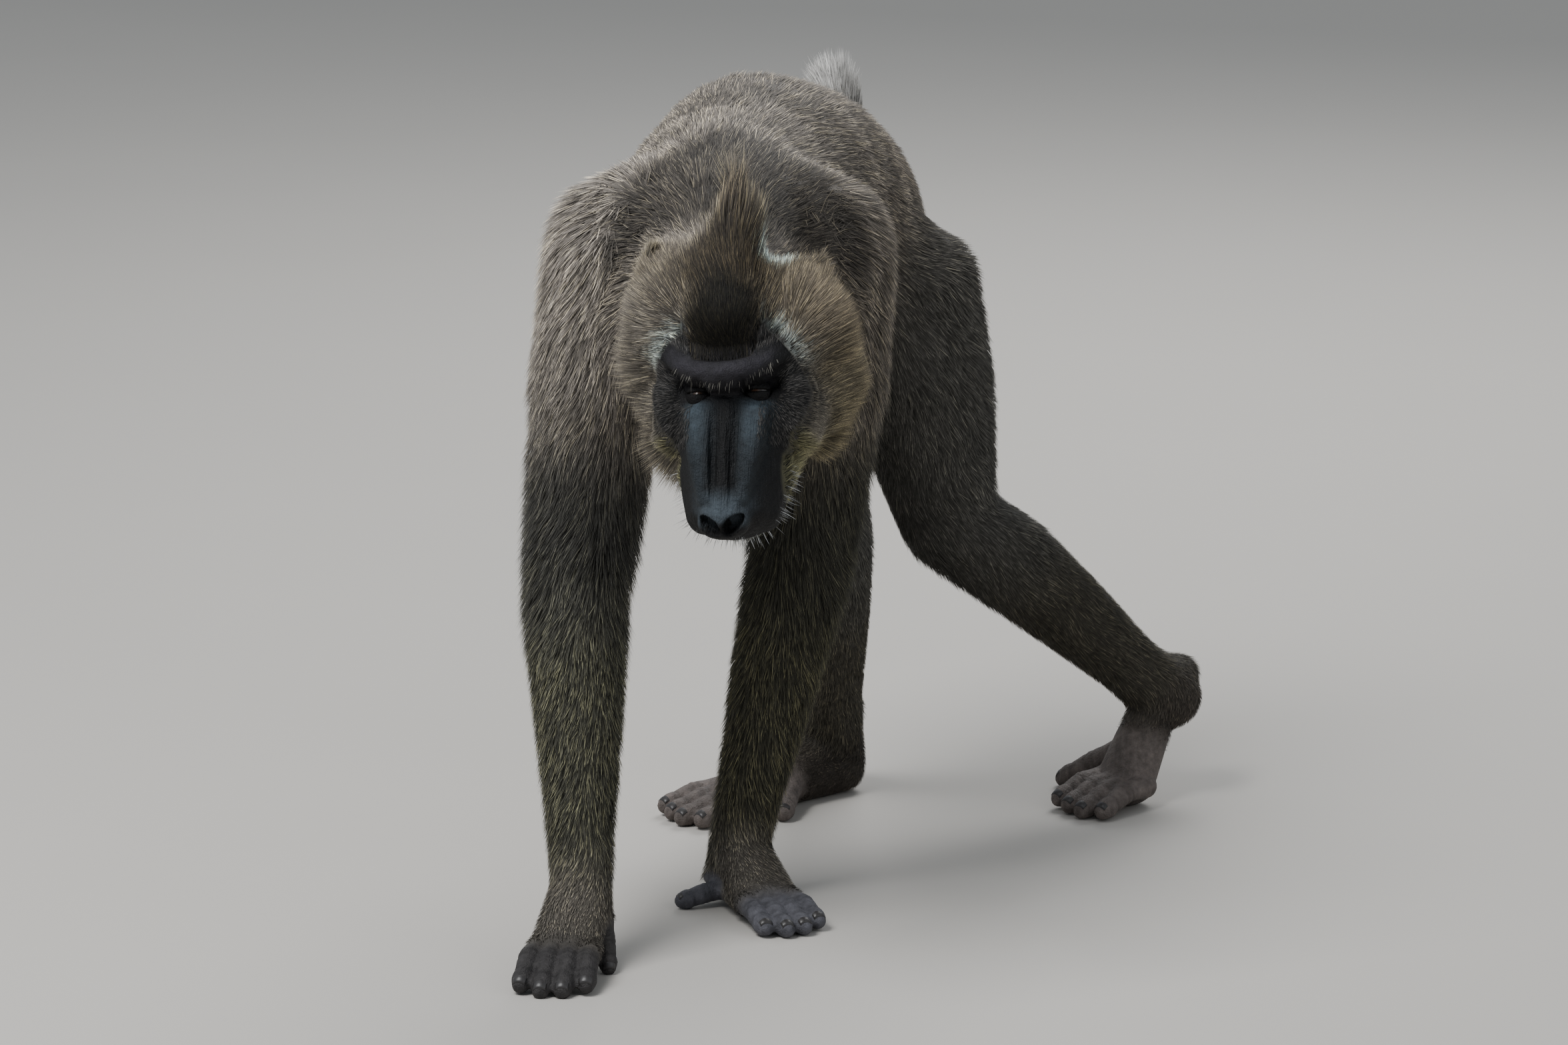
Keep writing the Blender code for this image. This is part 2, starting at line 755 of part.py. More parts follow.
def tree_of(obj):
    corners = [vert.co.copy() for vert in obj.data.vertices]
    return BVHTree.FromPolygons(corners, [tuple(face.vertices) for face in obj.data.polygons])


def outermost(tree, centre, way):
    """Where the surface that lies furthest from centre crosses a way out of it, and its normal there."""
    hit, normal, _, _ = tree.ray_cast(centre + way * 0.4, -way)
    return hit, normal


def lock(root, normal, tip, width):
    """A flat, tapered lock. It starts below the skin at root, bows out along normal and ends at tip."""
    start = root - normal * LOCK_SINK
    bow = root.lerp(tip, 0.42) + normal * (tip - root).length * 0.16
    bm = bmesh.new()
    rings = []
    for share, breadth in LOCK_STATIONS:
        centre = start.lerp(bow, share).lerp(bow.lerp(tip, share), share)
        ahead = (bow.lerp(tip, share) - start.lerp(bow, share)).normalized()
        side = ahead.cross(normal).normalized()
        up = side.cross(ahead)
        half, depth = width * breadth / 2, LOCK_DEPTH * (1.1 - 0.5 * share)
        corners = (side * half, up * depth, -side * half, -up * depth)
        rings.append([bm.verts.new(centre + corner) for corner in corners])
    end = bm.verts.new(tip)
    bm.faces.new(rings[0])
    for first, second in zip(rings, rings[1:]):
        for index in range(4):
            after = (index + 1) % 4
            bm.faces.new((first[index], first[after], second[after], second[index]))
    for index in range(4):
        bm.faces.new((rings[-1][index], rings[-1][(index + 1) % 4], end))
    bmesh.ops.recalc_face_normals(bm, faces=bm.faces)
    bmesh.ops.triangulate(bm, faces=bm.faces)
    return add_object("lock", bm)


def ruff_locks(core, full, side, draw):
    """Three overlapping rows of locks that sweep back from the cheek."""
    out = SIDES[side]
    locks = []
    for row, (root_angle, tip_angle, lift, count) in enumerate(RUFF_ROWS):
        for index in range(count):
            share = (index + 0.5 * (row % 2) + draw.uniform(-0.12, 0.12)) / (count - 0.5)
            turn = RUFF_ENDS[0] + (RUFF_ENDS[1] - RUFF_ENDS[0]) * share
            twist = turn + draw.uniform(-0.05, 0.10)
            ways = []
            for angle, about in ((root_angle, turn), (tip_angle + draw.uniform(-0.06, 0.06), twist)):
                across = SKULL_UP * math.cos(about) + S_AXIS * out * math.sin(about)
                ways.append(SKULL_AHEAD * math.cos(angle) + across * math.sin(angle))
            root, normal = outermost(core, RUFF_CENTRE, ways[0])
            end, _ = outermost(full, RUFF_CENTRE, ways[1])
            tip = end + ways[1] * lift
            locks.append(lock(root, normal, tip, draw.uniform(0.023, 0.029)))
    return locks


def crest_locks(core, draw):
    """Rings of locks up the crest, the last meeting at its tip."""
    foot, top = on_skull(0, 0.004, -0.042), on_skull(0, *CREST_TIP)
    rise = (top - foot).normalized()
    ahead = rise.cross(S_AXIS).normalized()
    locks = []
    for low, high, reach_out, angles in CREST_RINGS:
        for angle in angles:
            about = math.radians(angle + draw.uniform(-6, 6))
            way = ahead * math.cos(about) + S_AXIS * math.sin(about)
            root, normal = outermost(core, foot.lerp(top, low), way)
            tip = foot.lerp(top, high + draw.uniform(-0.04, 0.03)) + way * reach_out
            locks.append(lock(root, normal, tip, draw.uniform(0.020, 0.025)))
    return locks


def nostril(muzzle, side):
    """The teardrop that opens a nostril, downwards and ahead."""
    way = (N_AXIS * 0.72 + M_AXIS * 0.69).normalized()
    inner = on_muzzle(SIDES[side] * NOSTRIL_SPREAD, NOSE[1], NOSE[2] - 0.004)
    rim = outermost(tree_of(muzzle), inner, way)[0]
    bm = bmesh.new()
    add_hull(bm, [Blob(rim - way * 0.001, (0.0074, 0.0052, 0.0080), columns(S_AXIS, way.cross(S_AXIS), way))], 2)
    return add_object("nostril", bm)


def face_region():
    """The envelope that parts the bare face and muzzle from the furred head."""
    blobs = [
        muzzle_blob(0, -0.008, 0.000, 0.054, 0.042, 0.018),
        muzzle_blob(0, -0.020, 0.020, 0.066, 0.052, 0.022),
        muzzle_blob(0, -0.040, 0.100, 0.054, 0.075, 0.040),
    ]
    return region(blobs)


def head_nodes():
    """Head, muzzle, jaw, ears and eyes."""
    whole = fuse(shells("whole", head_chains()), HEAD_VOXEL, 3)
    push(whole, face_relief)
    whole = fuse(join_shells(whole, lid_shells()), HEAD_VOXEL, 1)
    whole = thin_out(whole, HEAD_FACES)
    head = half_of(whole, "head", NECK_CUT[0], NECK_CUT[1])
    remove(whole)
    envelope = face_region()
    lips = on_muzzle(0, MOUTH_OUT, 0.06)
    face = shell_of(head, "face", envelope)
    muzzle = half_of(face, "muzzle", lips, N_AXIS)
    chin = give_beard(copy_of(head, "chin"))
    bearded = shell_of(chin, "bearded", envelope)
    half_of(bearded, "jaw", lips, -N_AXIS)
    remove(face, chin, bearded)
    ears = [make_ear(side, tree_of(head)) for side in SIDES]
    for ear in ears:
        clear_of(ear, head)
    give_mane(head)
    cut_out(head, envelope)
    for name in ("neck", "chest", "upper_arm_left", "upper_arm_right", "ear_left", "ear_right"):
        clear_of(head, bpy.data.objects[name])
    for side in SIDES:
        bm = bmesh.new()
        ball = Blob(eye_centre(side), EYE_RADIUS, MUZZLE_AXES)
        bmesh.ops.create_icosphere(bm, subdivisions=2, radius=1.0, matrix=ball.matrix())
        eye = add_object(f"eye_{side}", bm)
        combine(muzzle, [swollen(eye, GAP), lid_opening(side)], "DIFFERENCE")
    combine(muzzle, [nostril(muzzle, side) for side in SIDES], "DIFFERENCE")


def give_beard(chin):
    """Locks along the sides of the lower jaw, swept down and back."""
    draw = random.Random(5)
    core = tree_of(chin)
    locks = []
    for out in SIDES.values():
        for down, angle in ((0.070, 40), (0.054, 10), (0.046, 55), (0.026, 25)):
            about = math.radians(angle)
            way = S_AXIS * out * math.cos(about) - N_AXIS * math.sin(about)
            root, normal = outermost(core, on_muzzle(0, -0.078, down), way)
            tip = root + way * 0.013 - M_AXIS * 0.017 - N_AXIS * 0.010
            locks.append(lock(root, normal, tip, draw.uniform(0.015, 0.019)))
    return combine(chin, locks, "UNION")


def give_mane(head):
    """Unites the head with the locks of ruff and crest."""
    draw = random.Random(11)
    core = tree_of(head)
    full = shells("full", [ruff_chain(side, RUFF_FULLNESS) for side in SIDES])
    outline = tree_of(full)
    remove(full)
    locks = crest_locks(core, draw)
    for side in SIDES:
        locks += ruff_locks(core, outline, side, draw)
    combine(head, locks, "UNION")


def join_shells(obj, chains):
    """Adds the hulls of some chains to an object."""
    bm = bmesh.new()
    bm.from_mesh(obj.data)
    for chain in chains:
        add_hull(bm, chain, 3)
    bm.to_mesh(obj.data)
    bm.free()
    return obj


def make_ear(side, core):
    """A rounded ear, set on the head: a thick leaf with its cup turned out and ahead."""
    out = SIDES[side]
    up = (S_AXIS * out * 0.72 + SKULL_UP * 0.58 - SKULL_AHEAD * 0.38).normalized()
    root = outermost(core, RUFF_CENTRE, up)[0]
    middle = root + up * (EAR_HEIGHT / 2 - EAR_SINK)
    facing = SKULL_AHEAD * 0.75 + S_AXIS * out * 0.66
    facing = (facing - up * facing.dot(up)).normalized()
    across = up.cross(facing)
    sizes = (EAR_WIDTH / 2, EAR_HEIGHT / 2, 0.0042)
    bm = bmesh.new()
    leaf = Blob(middle, sizes, columns(across, up, across.cross(up)))
    bmesh.ops.create_icosphere(bm, subdivisions=3, radius=1.0, matrix=leaf.matrix())
    for vert in bm.verts:
        offset = vert.co - middle
        share = math.hypot(offset.dot(across) / sizes[0], offset.dot(up) / sizes[1])
        vert.co += facing * 0.0058 * (share**2 - 0.5)
    return thin_out(add_object(f"ear_{side}", bm), 200)


# Hands and feet


def digit(root, tip, radius, arch):
    """A finger or toe from its knuckle to its tip, raised at its middle joint."""
    middle = along(root, tip, 0.5, (0, 0, arch))
    end = along(root, tip, 0.90, (0, 0, arch * 0.15))
    return [
        Blob(root, radius * 1.15),
        Blob(middle, radius * 1.05),
        Blob(end, radius),
        Blob(tip, radius * 0.80),
    ]


def paw_node(name, stub, chains, joint, away):
    """Fuses a hand or foot, flattens it on the floor and cuts it at its joint."""
    whole = thin_out(fuse(shells("whole", [stub] + chains, 2), PAW_VOXEL, 2), PAW_FACES)
    flat = half_of(whole, "flat", Vector((0, 0, -GAP / 2)), (0, 0, 1))
    remove(whole)
    half_of(flat, name, joint, away)
    remove(flat)


def fingers(knuckle, tip, across, spread, fan, radius, lag, arch):
    """Four digits side by side. lag is how far each tip falls behind the longest."""
    ahead = (tip - knuckle).normalized()
    chains = []
    for index, behind in enumerate(lag):
        offset = (index - 1.5) / 1.5
        root = knuckle + across * offset * spread
        end = tip + across * offset * fan - ahead * behind
        chains.append(digit(root, end, radius, arch))
    return chains


def hand_right():
    """The right hand stands on its fingers, with the palm raised."""
    wrist, elbow = WRIST["right"], ELBOW["right"]
    across = Vector((1, -0.10, 0)).normalized()
    knuckle = Vector((-0.152, -0.100, 0.0200))
    tip = Vector((-0.160, -0.153, 0.0046))
    stub = limb_chain(
        [along(elbow, wrist, 0.85), wrist, along(wrist, knuckle, 0.45), along(wrist, knuckle, 0.95)],
        [(0.0250, 0.0250), (0.0225, 0.0200), (0.0230, 0.0155), (0.0250, 0.0120)],
        across,
    )
    chains = fingers(knuckle, tip, across, 0.0185, 0.0225, 0.0076, (0.007, 0.0, 0.001, 0.009), 0.006)
    thumb_root = along(wrist, knuckle, 0.30, (0.018, 0.006, -0.012))
    chains.append(digit(thumb_root, Vector((-0.122, -0.094, 0.0044)), 0.0070, 0.002))
    chains.append([Blob(knuckle + Vector((0, 0.004, -0.0085)), (0.024, 0.013, 0.0105))])
    paw_node("hand_right", stub, chains, wrist, WRIST_CUT["right"])


def hand_left():
    """The left hand lies flat, its fingers turned inwards and its thumb out to the side."""
    wrist, elbow = WRIST["left"], ELBOW["left"]
    ahead = Vector((0.38, -0.92, 0)).normalized()
    across = Vector((0.92, 0.38, 0)).normalized()
    knuckle = Vector((wrist.x, wrist.y, 0)) + ahead * 0.054 + Vector((0, 0, 0.0125))
    tip = knuckle + ahead * 0.054 + Vector((0, 0, -0.0063))
    stub = limb_chain(
        [along(elbow, wrist, 0.85), wrist, along(wrist, knuckle, 0.5), knuckle],
        [(0.0250, 0.0250), (0.0225, 0.0200), (0.0240, 0.0150), (0.0260, 0.0110)],
        across,
    )
    chains = fingers(knuckle, tip, across, 0.0175, 0.0205, 0.0076, (0.007, 0.0, 0.001, 0.009), 0.003)
    heel = Vector((wrist.x, wrist.y, 0.0125)) + ahead * 0.006
    chains.append([Blob(heel, (0.021, 0.021, 0.0130)), Blob(knuckle - ahead * 0.012, (0.026, 0.020, 0.0125))])
    thumb_root = heel - across * 0.012 + ahead * 0.006
    chains.append(digit(thumb_root, thumb_root - across * 0.036 + Vector((0, 0.002, -0.0065)), 0.0072, 0.001))
    paw_node("hand_left", stub, chains, wrist, WRIST_CUT["left"])


def foot_right():
    """The right foot is flat on the floor, from heel to toes."""
    ankle, knee = ANKLE["right"], KNEE["right"]
    ahead = FOOT_AHEAD["right"]
    across = Vector((math.cos(FOOT_HEADING_RIGHT), -math.sin(FOOT_HEADING_RIGHT), 0))
    heel = Vector((0.044, 0.400, 0.0185))
    ball = heel + ahead * 0.098 + Vector((0, 0, -0.0045))
    tip = ball + ahead * 0.060 + Vector((0, 0, -0.0075))
    stub = limb_chain(
        [along(knee, ankle, 0.88), ankle, along(ankle, heel, 0.75)],
        [(0.0260, 0.0290), (0.0230, 0.0260), (0.0200, 0.0220)],
        across,
    )
    sole = [
        Blob(heel, (0.0190, 0.0190, 0.0200)),
        Blob(along(heel, ball, 0.40, (0, 0, 0.0020)), (0.0200, 0.0200, 0.0215)),
        Blob(ball, (0.0270, 0.0270, 0.0150)),
    ]
    instep = [Blob(ankle, 0.0225), Blob(along(heel, ball, 0.55, (0, 0, 0.0050)), (0.0200, 0.0200, 0.0170))]
    chains = [sole, instep] + fingers(
        ball, tip, across, 0.0205, 0.0240, 0.0080, (0.009, 0.003, 0.0, 0.006), 0.003
    )
    big_root = along(heel, ball, 0.62) + across * 0.014
    chains.append(digit(big_root, big_root + across * 0.030 + ahead * 0.030 + Vector((0, 0, -0.0085)), 0.0085, 0.001))
    paw_node("foot_right", stub, chains, ankle, ANKLE_CUT["right"])


def foot_left():
    """The left foot pushes off, its heel raised and its toes on the floor."""
    ankle, knee = ANKLE["left"], KNEE["left"]
    ahead = FOOT_AHEAD["left"]
    across = Vector((math.cos(FOOT_HEADING_LEFT), -math.sin(FOOT_HEADING_LEFT), 0))
    heel = Vector((0.297, 0.404, 0.0920))
    ball = Vector((0.256, 0.362, 0.0170))
    tip = ball + ahead * 0.056 + Vector((0, 0, -0.0105))
    stub = limb_chain(
        [along(knee, ankle, 0.88), ankle, along(ankle, heel, 0.7)],
        [(0.0260, 0.0290), (0.0230, 0.0260), (0.0190, 0.0210)],
        across,
    )
    sole = limb_chain(
        [heel, along(heel, ball, 0.45, (-0.004, -0.003, 0.002)), ball],
        [(0.0185, 0.0180), (0.0195, 0.0170), (0.0260, 0.0155)],
        across,
    )
    instep = [Blob(ankle, 0.0220), Blob(along(heel, ball, 0.50, (-0.006, -0.006, 0.006)), 0.0165)]
    chains = [sole, instep] + fingers(
        ball, tip, across, 0.0200, 0.0235, 0.0080, (0.009, 0.003, 0.0, 0.006), 0.004
    )
    chains.append([Blob(ball + ahead * 0.004 + Vector((0, 0, -0.0040)), (0.0240, 0.0180, 0.0140))])
    big_root = along(heel, ball, 0.72) - across * 0.014
    big_tip = Vector((0.212, 0.412, 0.0062))
    chains.append(digit(big_root, big_tip, 0.0085, 0.001))
    paw_node("foot_left", stub, chains, ankle, ANKLE_CUT["left"])


# Seat and tail


PELVIS_BACK = Vector((0.64, 0.77, 0.0))
PELVIS_LEFT = Vector((0.77, -0.64, 0.0))
SEAT_MIDDLE = Vector((0.068, 0.410, 0.399))
SEAT_SPREAD = 0.022
SEAT_TILT = math.radians(22.0)


def seat_nodes():
    """The bare pads that it sits on, let into the rump under the tail."""
    rump = bpy.data.objects["rump"]
    level = columns(-PELVIS_LEFT, Vector((0, 0, 1)), PELVIS_BACK)
    axes = level @ Matrix.Rotation(SEAT_TILT, 3, "X")
    for side, out in SIDES.items():
        bm = bmesh.new()
        pad = Blob(SEAT_MIDDLE + PELVIS_LEFT * out * SEAT_SPREAD, (0.0195, 0.0170, 0.0100), axes)
        bmesh.ops.create_icosphere(bm, subdivisions=3, radius=1.0, matrix=pad.matrix())
        seat = thin_out(add_object(f"seat_{side}", bm), 110)
        clear_of(rump, seat)
        for thigh in SIDES:
            clear_of(bpy.data.objects[f"thigh_{thigh}"], seat)


# Rings of the tail's tuft, as for the crest.
TAIL_RINGS = (
    (0.30, 0.80, 0.021, (0, 72, 144, 216, 288)),
    (0.44, 0.97, 0.017, (36, 108, 180, 252, 324)),
    (0.60, 1.10, 0.005, (60, 180, 300)),
)


def tail_node():
    """A short upright tail with a tuft, trimmed where it grows from the rump."""
    tail = thin_out(fuse(shells("tail", [tail_chain()]), 0.003, 4), 240)
    core = tree_of(tail)
    draw = random.Random(3)
    side = TAIL_WAY.cross(Vector((0, 1, 0))).normalized()
    ahead = side.cross(TAIL_WAY)
    locks = []
    for low, high, reach_out, angles in TAIL_RINGS:
        for angle in angles:
            about = math.radians(angle + draw.uniform(-10, 10))
            way = side * math.cos(about) + ahead * math.sin(about)
            root, normal = outermost(core, along(TAIL_ROOT, TAIL_TIP, low), way)
            tip = along(TAIL_ROOT, TAIL_TIP, high + draw.uniform(-0.06, 0.06)) + way * reach_out
            locks.append(lock(root, normal, tip, draw.uniform(0.016, 0.020)))
    combine(tail, locks, "UNION")
    clear_of(tail, bpy.data.objects["rump"])


NODE_COLOURS = {
    "olive_coat": ("head", "jaw", "neck", "chest", "belly", "rump"),
    "dark_coat": ("upper_arm", "forearm", "thigh", "shank"),
    "black_skin": ("muzzle", "ear"),
    "paw_skin": ("hand", "foot"),
    "seat_skin": ("seat",),
    "pale_hair": ("tail",),
    "eye": ("eye",),
}


def dress():
    """Gives each node its colour and moves the box's middle to the origin."""
    for colour, names in NODE_COLOURS.items():
        for obj in bpy.data.objects:
            if obj.name.startswith(names):
                obj.data.materials.clear()
                obj.data.materials.append(material(colour))
    for obj in bpy.data.objects:
        obj.data.transform(Matrix.Translation(-BOX_MIDDLE))
        obj.data.shade_smooth()
        obj.data.set_sharp_from_angle(angle=CREASE)


def main():
    clear_scene()
    body_nodes()
    head_nodes()
    hand_right()
    hand_left()
    foot_right()
    foot_left()
    seat_nodes()
    tail_node()
    dress()


if __name__ == "__main__":
    main()
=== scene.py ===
"""Looks of a life-size male drill monkey that walks with its head low.

The flesh is shaped from blobs, joined into hulls and fused into one skin, from the same named sizes as the solids.
It lies inside them by the depth of the coat. The coat is thin tapered tufts of solid mesh, rooted in the skin and
lying along the body. All shapes are made where the animal was measured, and moved to the frame's middle at the end.
"""

import logging
import math
from dataclasses import dataclass, field
from enum import Enum

import bmesh
import bpy
import numpy as np
from mathutils import Matrix, Vector
from mathutils.bvhtree import BVHTree
from mathutils.kdtree import KDTree


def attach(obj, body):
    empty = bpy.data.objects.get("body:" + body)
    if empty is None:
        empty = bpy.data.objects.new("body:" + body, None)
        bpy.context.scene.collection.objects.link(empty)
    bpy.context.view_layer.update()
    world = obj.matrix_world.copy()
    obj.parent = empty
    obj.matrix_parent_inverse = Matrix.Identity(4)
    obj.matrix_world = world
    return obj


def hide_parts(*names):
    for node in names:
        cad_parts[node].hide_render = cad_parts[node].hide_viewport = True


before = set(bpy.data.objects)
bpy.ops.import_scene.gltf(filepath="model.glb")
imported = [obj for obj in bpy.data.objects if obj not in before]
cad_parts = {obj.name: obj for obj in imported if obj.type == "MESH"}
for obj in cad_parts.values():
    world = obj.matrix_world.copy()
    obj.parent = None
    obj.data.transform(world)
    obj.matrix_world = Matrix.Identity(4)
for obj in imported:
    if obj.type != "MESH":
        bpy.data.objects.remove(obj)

LOG = logging.getLogger("drill")
# From where the animal was measured to the frame's middle.
BOX_MIDDLE = Vector((0.0634, 0.1361, 0.0))


class Side(Enum):
    """A side of the animal, with the sign of its outward way."""

    LEFT = 1
    RIGHT = -1


class Lie(Enum):
    """How the hair of a zone lies."""

    ALONG = "along a way"
    AWAY = "away from a point"
    TOWARD = "toward a point"


def tone(red: float, green: float, blue: float) -> tuple[float, float, float]:
    """A colour given as a screen shows it, from 0 to 255, as light."""
    return tuple(((value / 255 + 0.055) / 1.055) ** 2.4 if value > 10 else value / 3294 for value in (red, green, blue))


def columns(first: Vector, second: Vector, third: Vector) -> Matrix:
    """A matrix with the three vectors as its columns."""
    return Matrix((first, second, third)).transposed()


def axes_along(direction: Vector, across: Vector = Vector((1, 0, 0))) -> Matrix:
    """Axes whose third column runs along a direction.

    Args:
        direction: The way of the third axis.
        across: What the first axis is as near to as it can be.

    Returns:
        The three axes as columns.
    """
    ahead = Vector(direction).normalized()
    side = (Vector(across) - ahead * ahead.dot(Vector(across))).normalized()
    return columns(side, ahead.cross(side), ahead)


def reach(start: Vector, toward: tuple, length: float) -> Vector:
    """The point at a length from start, in the direction of another."""
    return Vector(start) + (Vector(toward) - Vector(start)).normalized() * length


def along(start: Vector, end: Vector, share: float, shift: tuple = (0, 0, 0)) -> Vector:
    """A point at a share of the way between two, with a shift."""
    return Vector(start).lerp(Vector(end), share) + Vector(shift)


@dataclass(frozen=True)
class Blob:
    """An ellipsoid of flesh: its centre, half sizes and axes."""

    centre: Vector
    sizes: tuple
    axes: Matrix = field(default_factory=lambda: Matrix.Identity(3))

    def matrix(self) -> Matrix:
        """The matrix that turns a unit ball into this blob."""
        sizes = Vector((self.sizes,) * 3) if isinstance(self.sizes, float) else Vector(self.sizes)
        return Matrix.Translation(self.centre) @ self.axes.to_4x4() @ Matrix.Diagonal(sizes).to_4x4()

    def away(self, points: np.ndarray, sizes: tuple) -> np.ndarray:
        """How far each point is from the centre, measured in sizes along the blob's axes."""
        return np.linalg.norm((points - np.array(self.centre)) @ np.array(self.axes) / np.array(sizes), axis=1)


@dataclass(frozen=True)
class Bones:
    """Where the joints of the standing animal are."""

    chest_x: float = -0.046
    shoulder_spread: float = 0.076
    humerus: float = 0.212
    forearm: float = 0.214
    femur: float = 0.212
    shank: float = 0.216
    tail_length: float = 0.078
    tail_root: Vector = field(default_factory=lambda: Vector((0.052, 0.402, 0.480)))
    tail_way: Vector = field(default_factory=lambda: Vector((-0.26, 0.02, 0.95)).normalized())
    foot_heading: dict = field(default_factory=lambda: {Side.RIGHT: math.radians(52), Side.LEFT: math.radians(45)})

    def shoulder(self, side: Side) -> Vector:
        """The shoulder joint of a side."""
        return Vector((self.chest_x + side.value * self.shoulder_spread, 0.068, 0.455))

    def elbow(self, side: Side) -> Vector:
        """The elbow of a side."""
        toward = {Side.RIGHT: (-0.146, 0.030, 0.250), Side.LEFT: (0.012, 0.118, 0.245)}[side]
        return reach(self.shoulder(side), toward, self.humerus)

    def wrist(self, side: Side) -> Vector:
        """The wrist of a side."""
        toward = {Side.RIGHT: (-0.141, -0.062, 0.056), Side.LEFT: (-0.034, 0.098, 0.036)}[side]
        return reach(self.elbow(side), toward, self.forearm)

    def hip(self, side: Side) -> Vector:
        """The hip of a side."""
        return Vector({Side.LEFT: (0.060, 0.320, 0.420), Side.RIGHT: (-0.012, 0.372, 0.420)}[side])

    def knee(self, side: Side) -> Vector:
        """The knee of a side."""
        toward = {Side.LEFT: (0.117, 0.360, 0.227), Side.RIGHT: (0.028, 0.300, 0.245)}[side]
        return reach(self.hip(side), toward, self.femur)

    def ankle(self, side: Side) -> Vector:
        """The ankle of a side."""
        toward = {Side.LEFT: (0.281, 0.385, 0.084), Side.RIGHT: (0.036, 0.392, 0.062)}[side]
        return reach(self.knee(side), toward, self.shank)

    def foot_ahead(self, side: Side) -> Vector:
        """The way that a foot's toes point."""
        return Vector((-math.sin(self.foot_heading[side]), -math.cos(self.foot_heading[side]), 0))

    def tail_tip(self) -> Vector:
        """The end of the tail's flesh."""
        return self.tail_root + self.tail_way * self.tail_length


@dataclass(frozen=True)
class HeadFrame:
    """The head's attitude: measures along the muzzle and the skull from the brow."""

    brow: Vector = field(default_factory=lambda: Vector((-0.044, -0.135, 0.4365)))
    slope: float = math.radians(58)
    lean: float = -0.045
    turn: float = math.radians(15)
    skull_to_muzzle: float = math.radians(32)

    @property
    def down(self) -> Vector:
        """The way from the brow down the muzzle."""
        return Vector((self.lean, -math.cos(self.slope), -math.sin(self.slope))).normalized()

    @property
    def left(self) -> Vector:
        """The way to the animal's left."""
        level = (Vector((1, 0, 0)) - self.down * self.down.x).normalized()
        return level * math.cos(self.turn) + self.down.cross(level) * math.sin(self.turn)

    @property
    def out(self) -> Vector:
        """The way out of the face."""
        return self.down.cross(self.left)

    @property
    def ahead(self) -> Vector:
        """The way that the skull points."""
        return self.down * math.cos(self.skull_to_muzzle) + self.out * math.sin(self.skull_to_muzzle)

    @property
    def up(self) -> Vector:
        """The way up from the skull."""
        return self.out * math.cos(self.skull_to_muzzle) - self.down * math.sin(self.skull_to_muzzle)

    def on_muzzle(self, left: float, out: float, down: float) -> Vector:
        """A point measured from the brow along the muzzle's axes."""
        return self.brow + self.left * left + self.out * out + self.down * down

    def on_skull(self, left: float, up: float, ahead: float) -> Vector:
        """A point measured from the brow along the skull's axes."""
        return self.brow + self.left * left + self.up * up + self.ahead * ahead

    def muzzle_blob(self, left: float, out: float, down: float, *sizes: float) -> Blob:
        """A blob set in the muzzle's axes."""
        return Blob(self.on_muzzle(left, out, down), sizes, columns(self.left, self.out, self.down))

    def skull_blob(self, left: float, up: float, ahead: float, *sizes: float) -> Blob:
        """A blob set in the skull's axes."""
        return Blob(self.on_skull(left, up, ahead), sizes, columns(self.left, self.up, self.ahead))

    def eye(self, side: Side) -> Vector:
        """The middle of an eye."""
        return self.on_muzzle(side.value * 0.0205, -0.0290, 0.0062)

    def coordinates(self, points: np.ndarray) -> np.ndarray:
        """How far left, out and down the muzzle each point is from the brow."""
        return (points - np.array(self.brow)) @ np.array([self.left, self.out, self.down]).T


@dataclass(frozen=True)
class Digit:
    """A finger or toe, from its knuckle to its tip."""

    root: Vector
    tip: Vector
    radius: float
    arch: float

    def chain(self) -> list:
        """The digit's blobs, raised at its middle joint and rounded at its pad."""
        radius = self.radius
        return [
            Blob(self.root, radius * 1.15),
            Blob(along(self.root, self.tip, 0.30, (0, 0, self.arch * 0.7)), radius * 0.97),
            Blob(along(self.root, self.tip, 0.50, (0, 0, self.arch)), radius * 1.06),
            Blob(along(self.root, self.tip, 0.74, (0, 0, self.arch * 0.5)), radius * 0.93),
            Blob(along(self.root, self.tip, 0.90, (0, 0, self.arch * 0.15)), radius),
            Blob(self.tip, radius * 0.80),
        ]


# Left, out and down the muzzle from the brow, as HeadFrame.on_muzzle takes them.
NOSE = (0.0, -0.0305, 0.0985)
MOUTH_OUT = -0.0625
MOUTH_CORNER = 0.036
BONES = Bones()
HEAD = HeadFrame()


def limb_chain(points: list, sizes: list, across: Vector) -> list:
    """Blobs along a limb.

    Args:
        points: The middle line.
        sizes: Half the width across and half the depth at each point.
        across: The way that the widths are measured.

    Returns:
        One blob for each point.
    """
    blobs = []
    for index, (point, (width, depth)) in enumerate(zip(points, sizes)):
        before, after = Vector(points[max(0, index - 1)]), Vector(points[min(len(points) - 1, index + 1)])
        blobs.append(Blob(point, (width, depth, min(width, depth)), axes_along(after - before, across)))
    return blobs


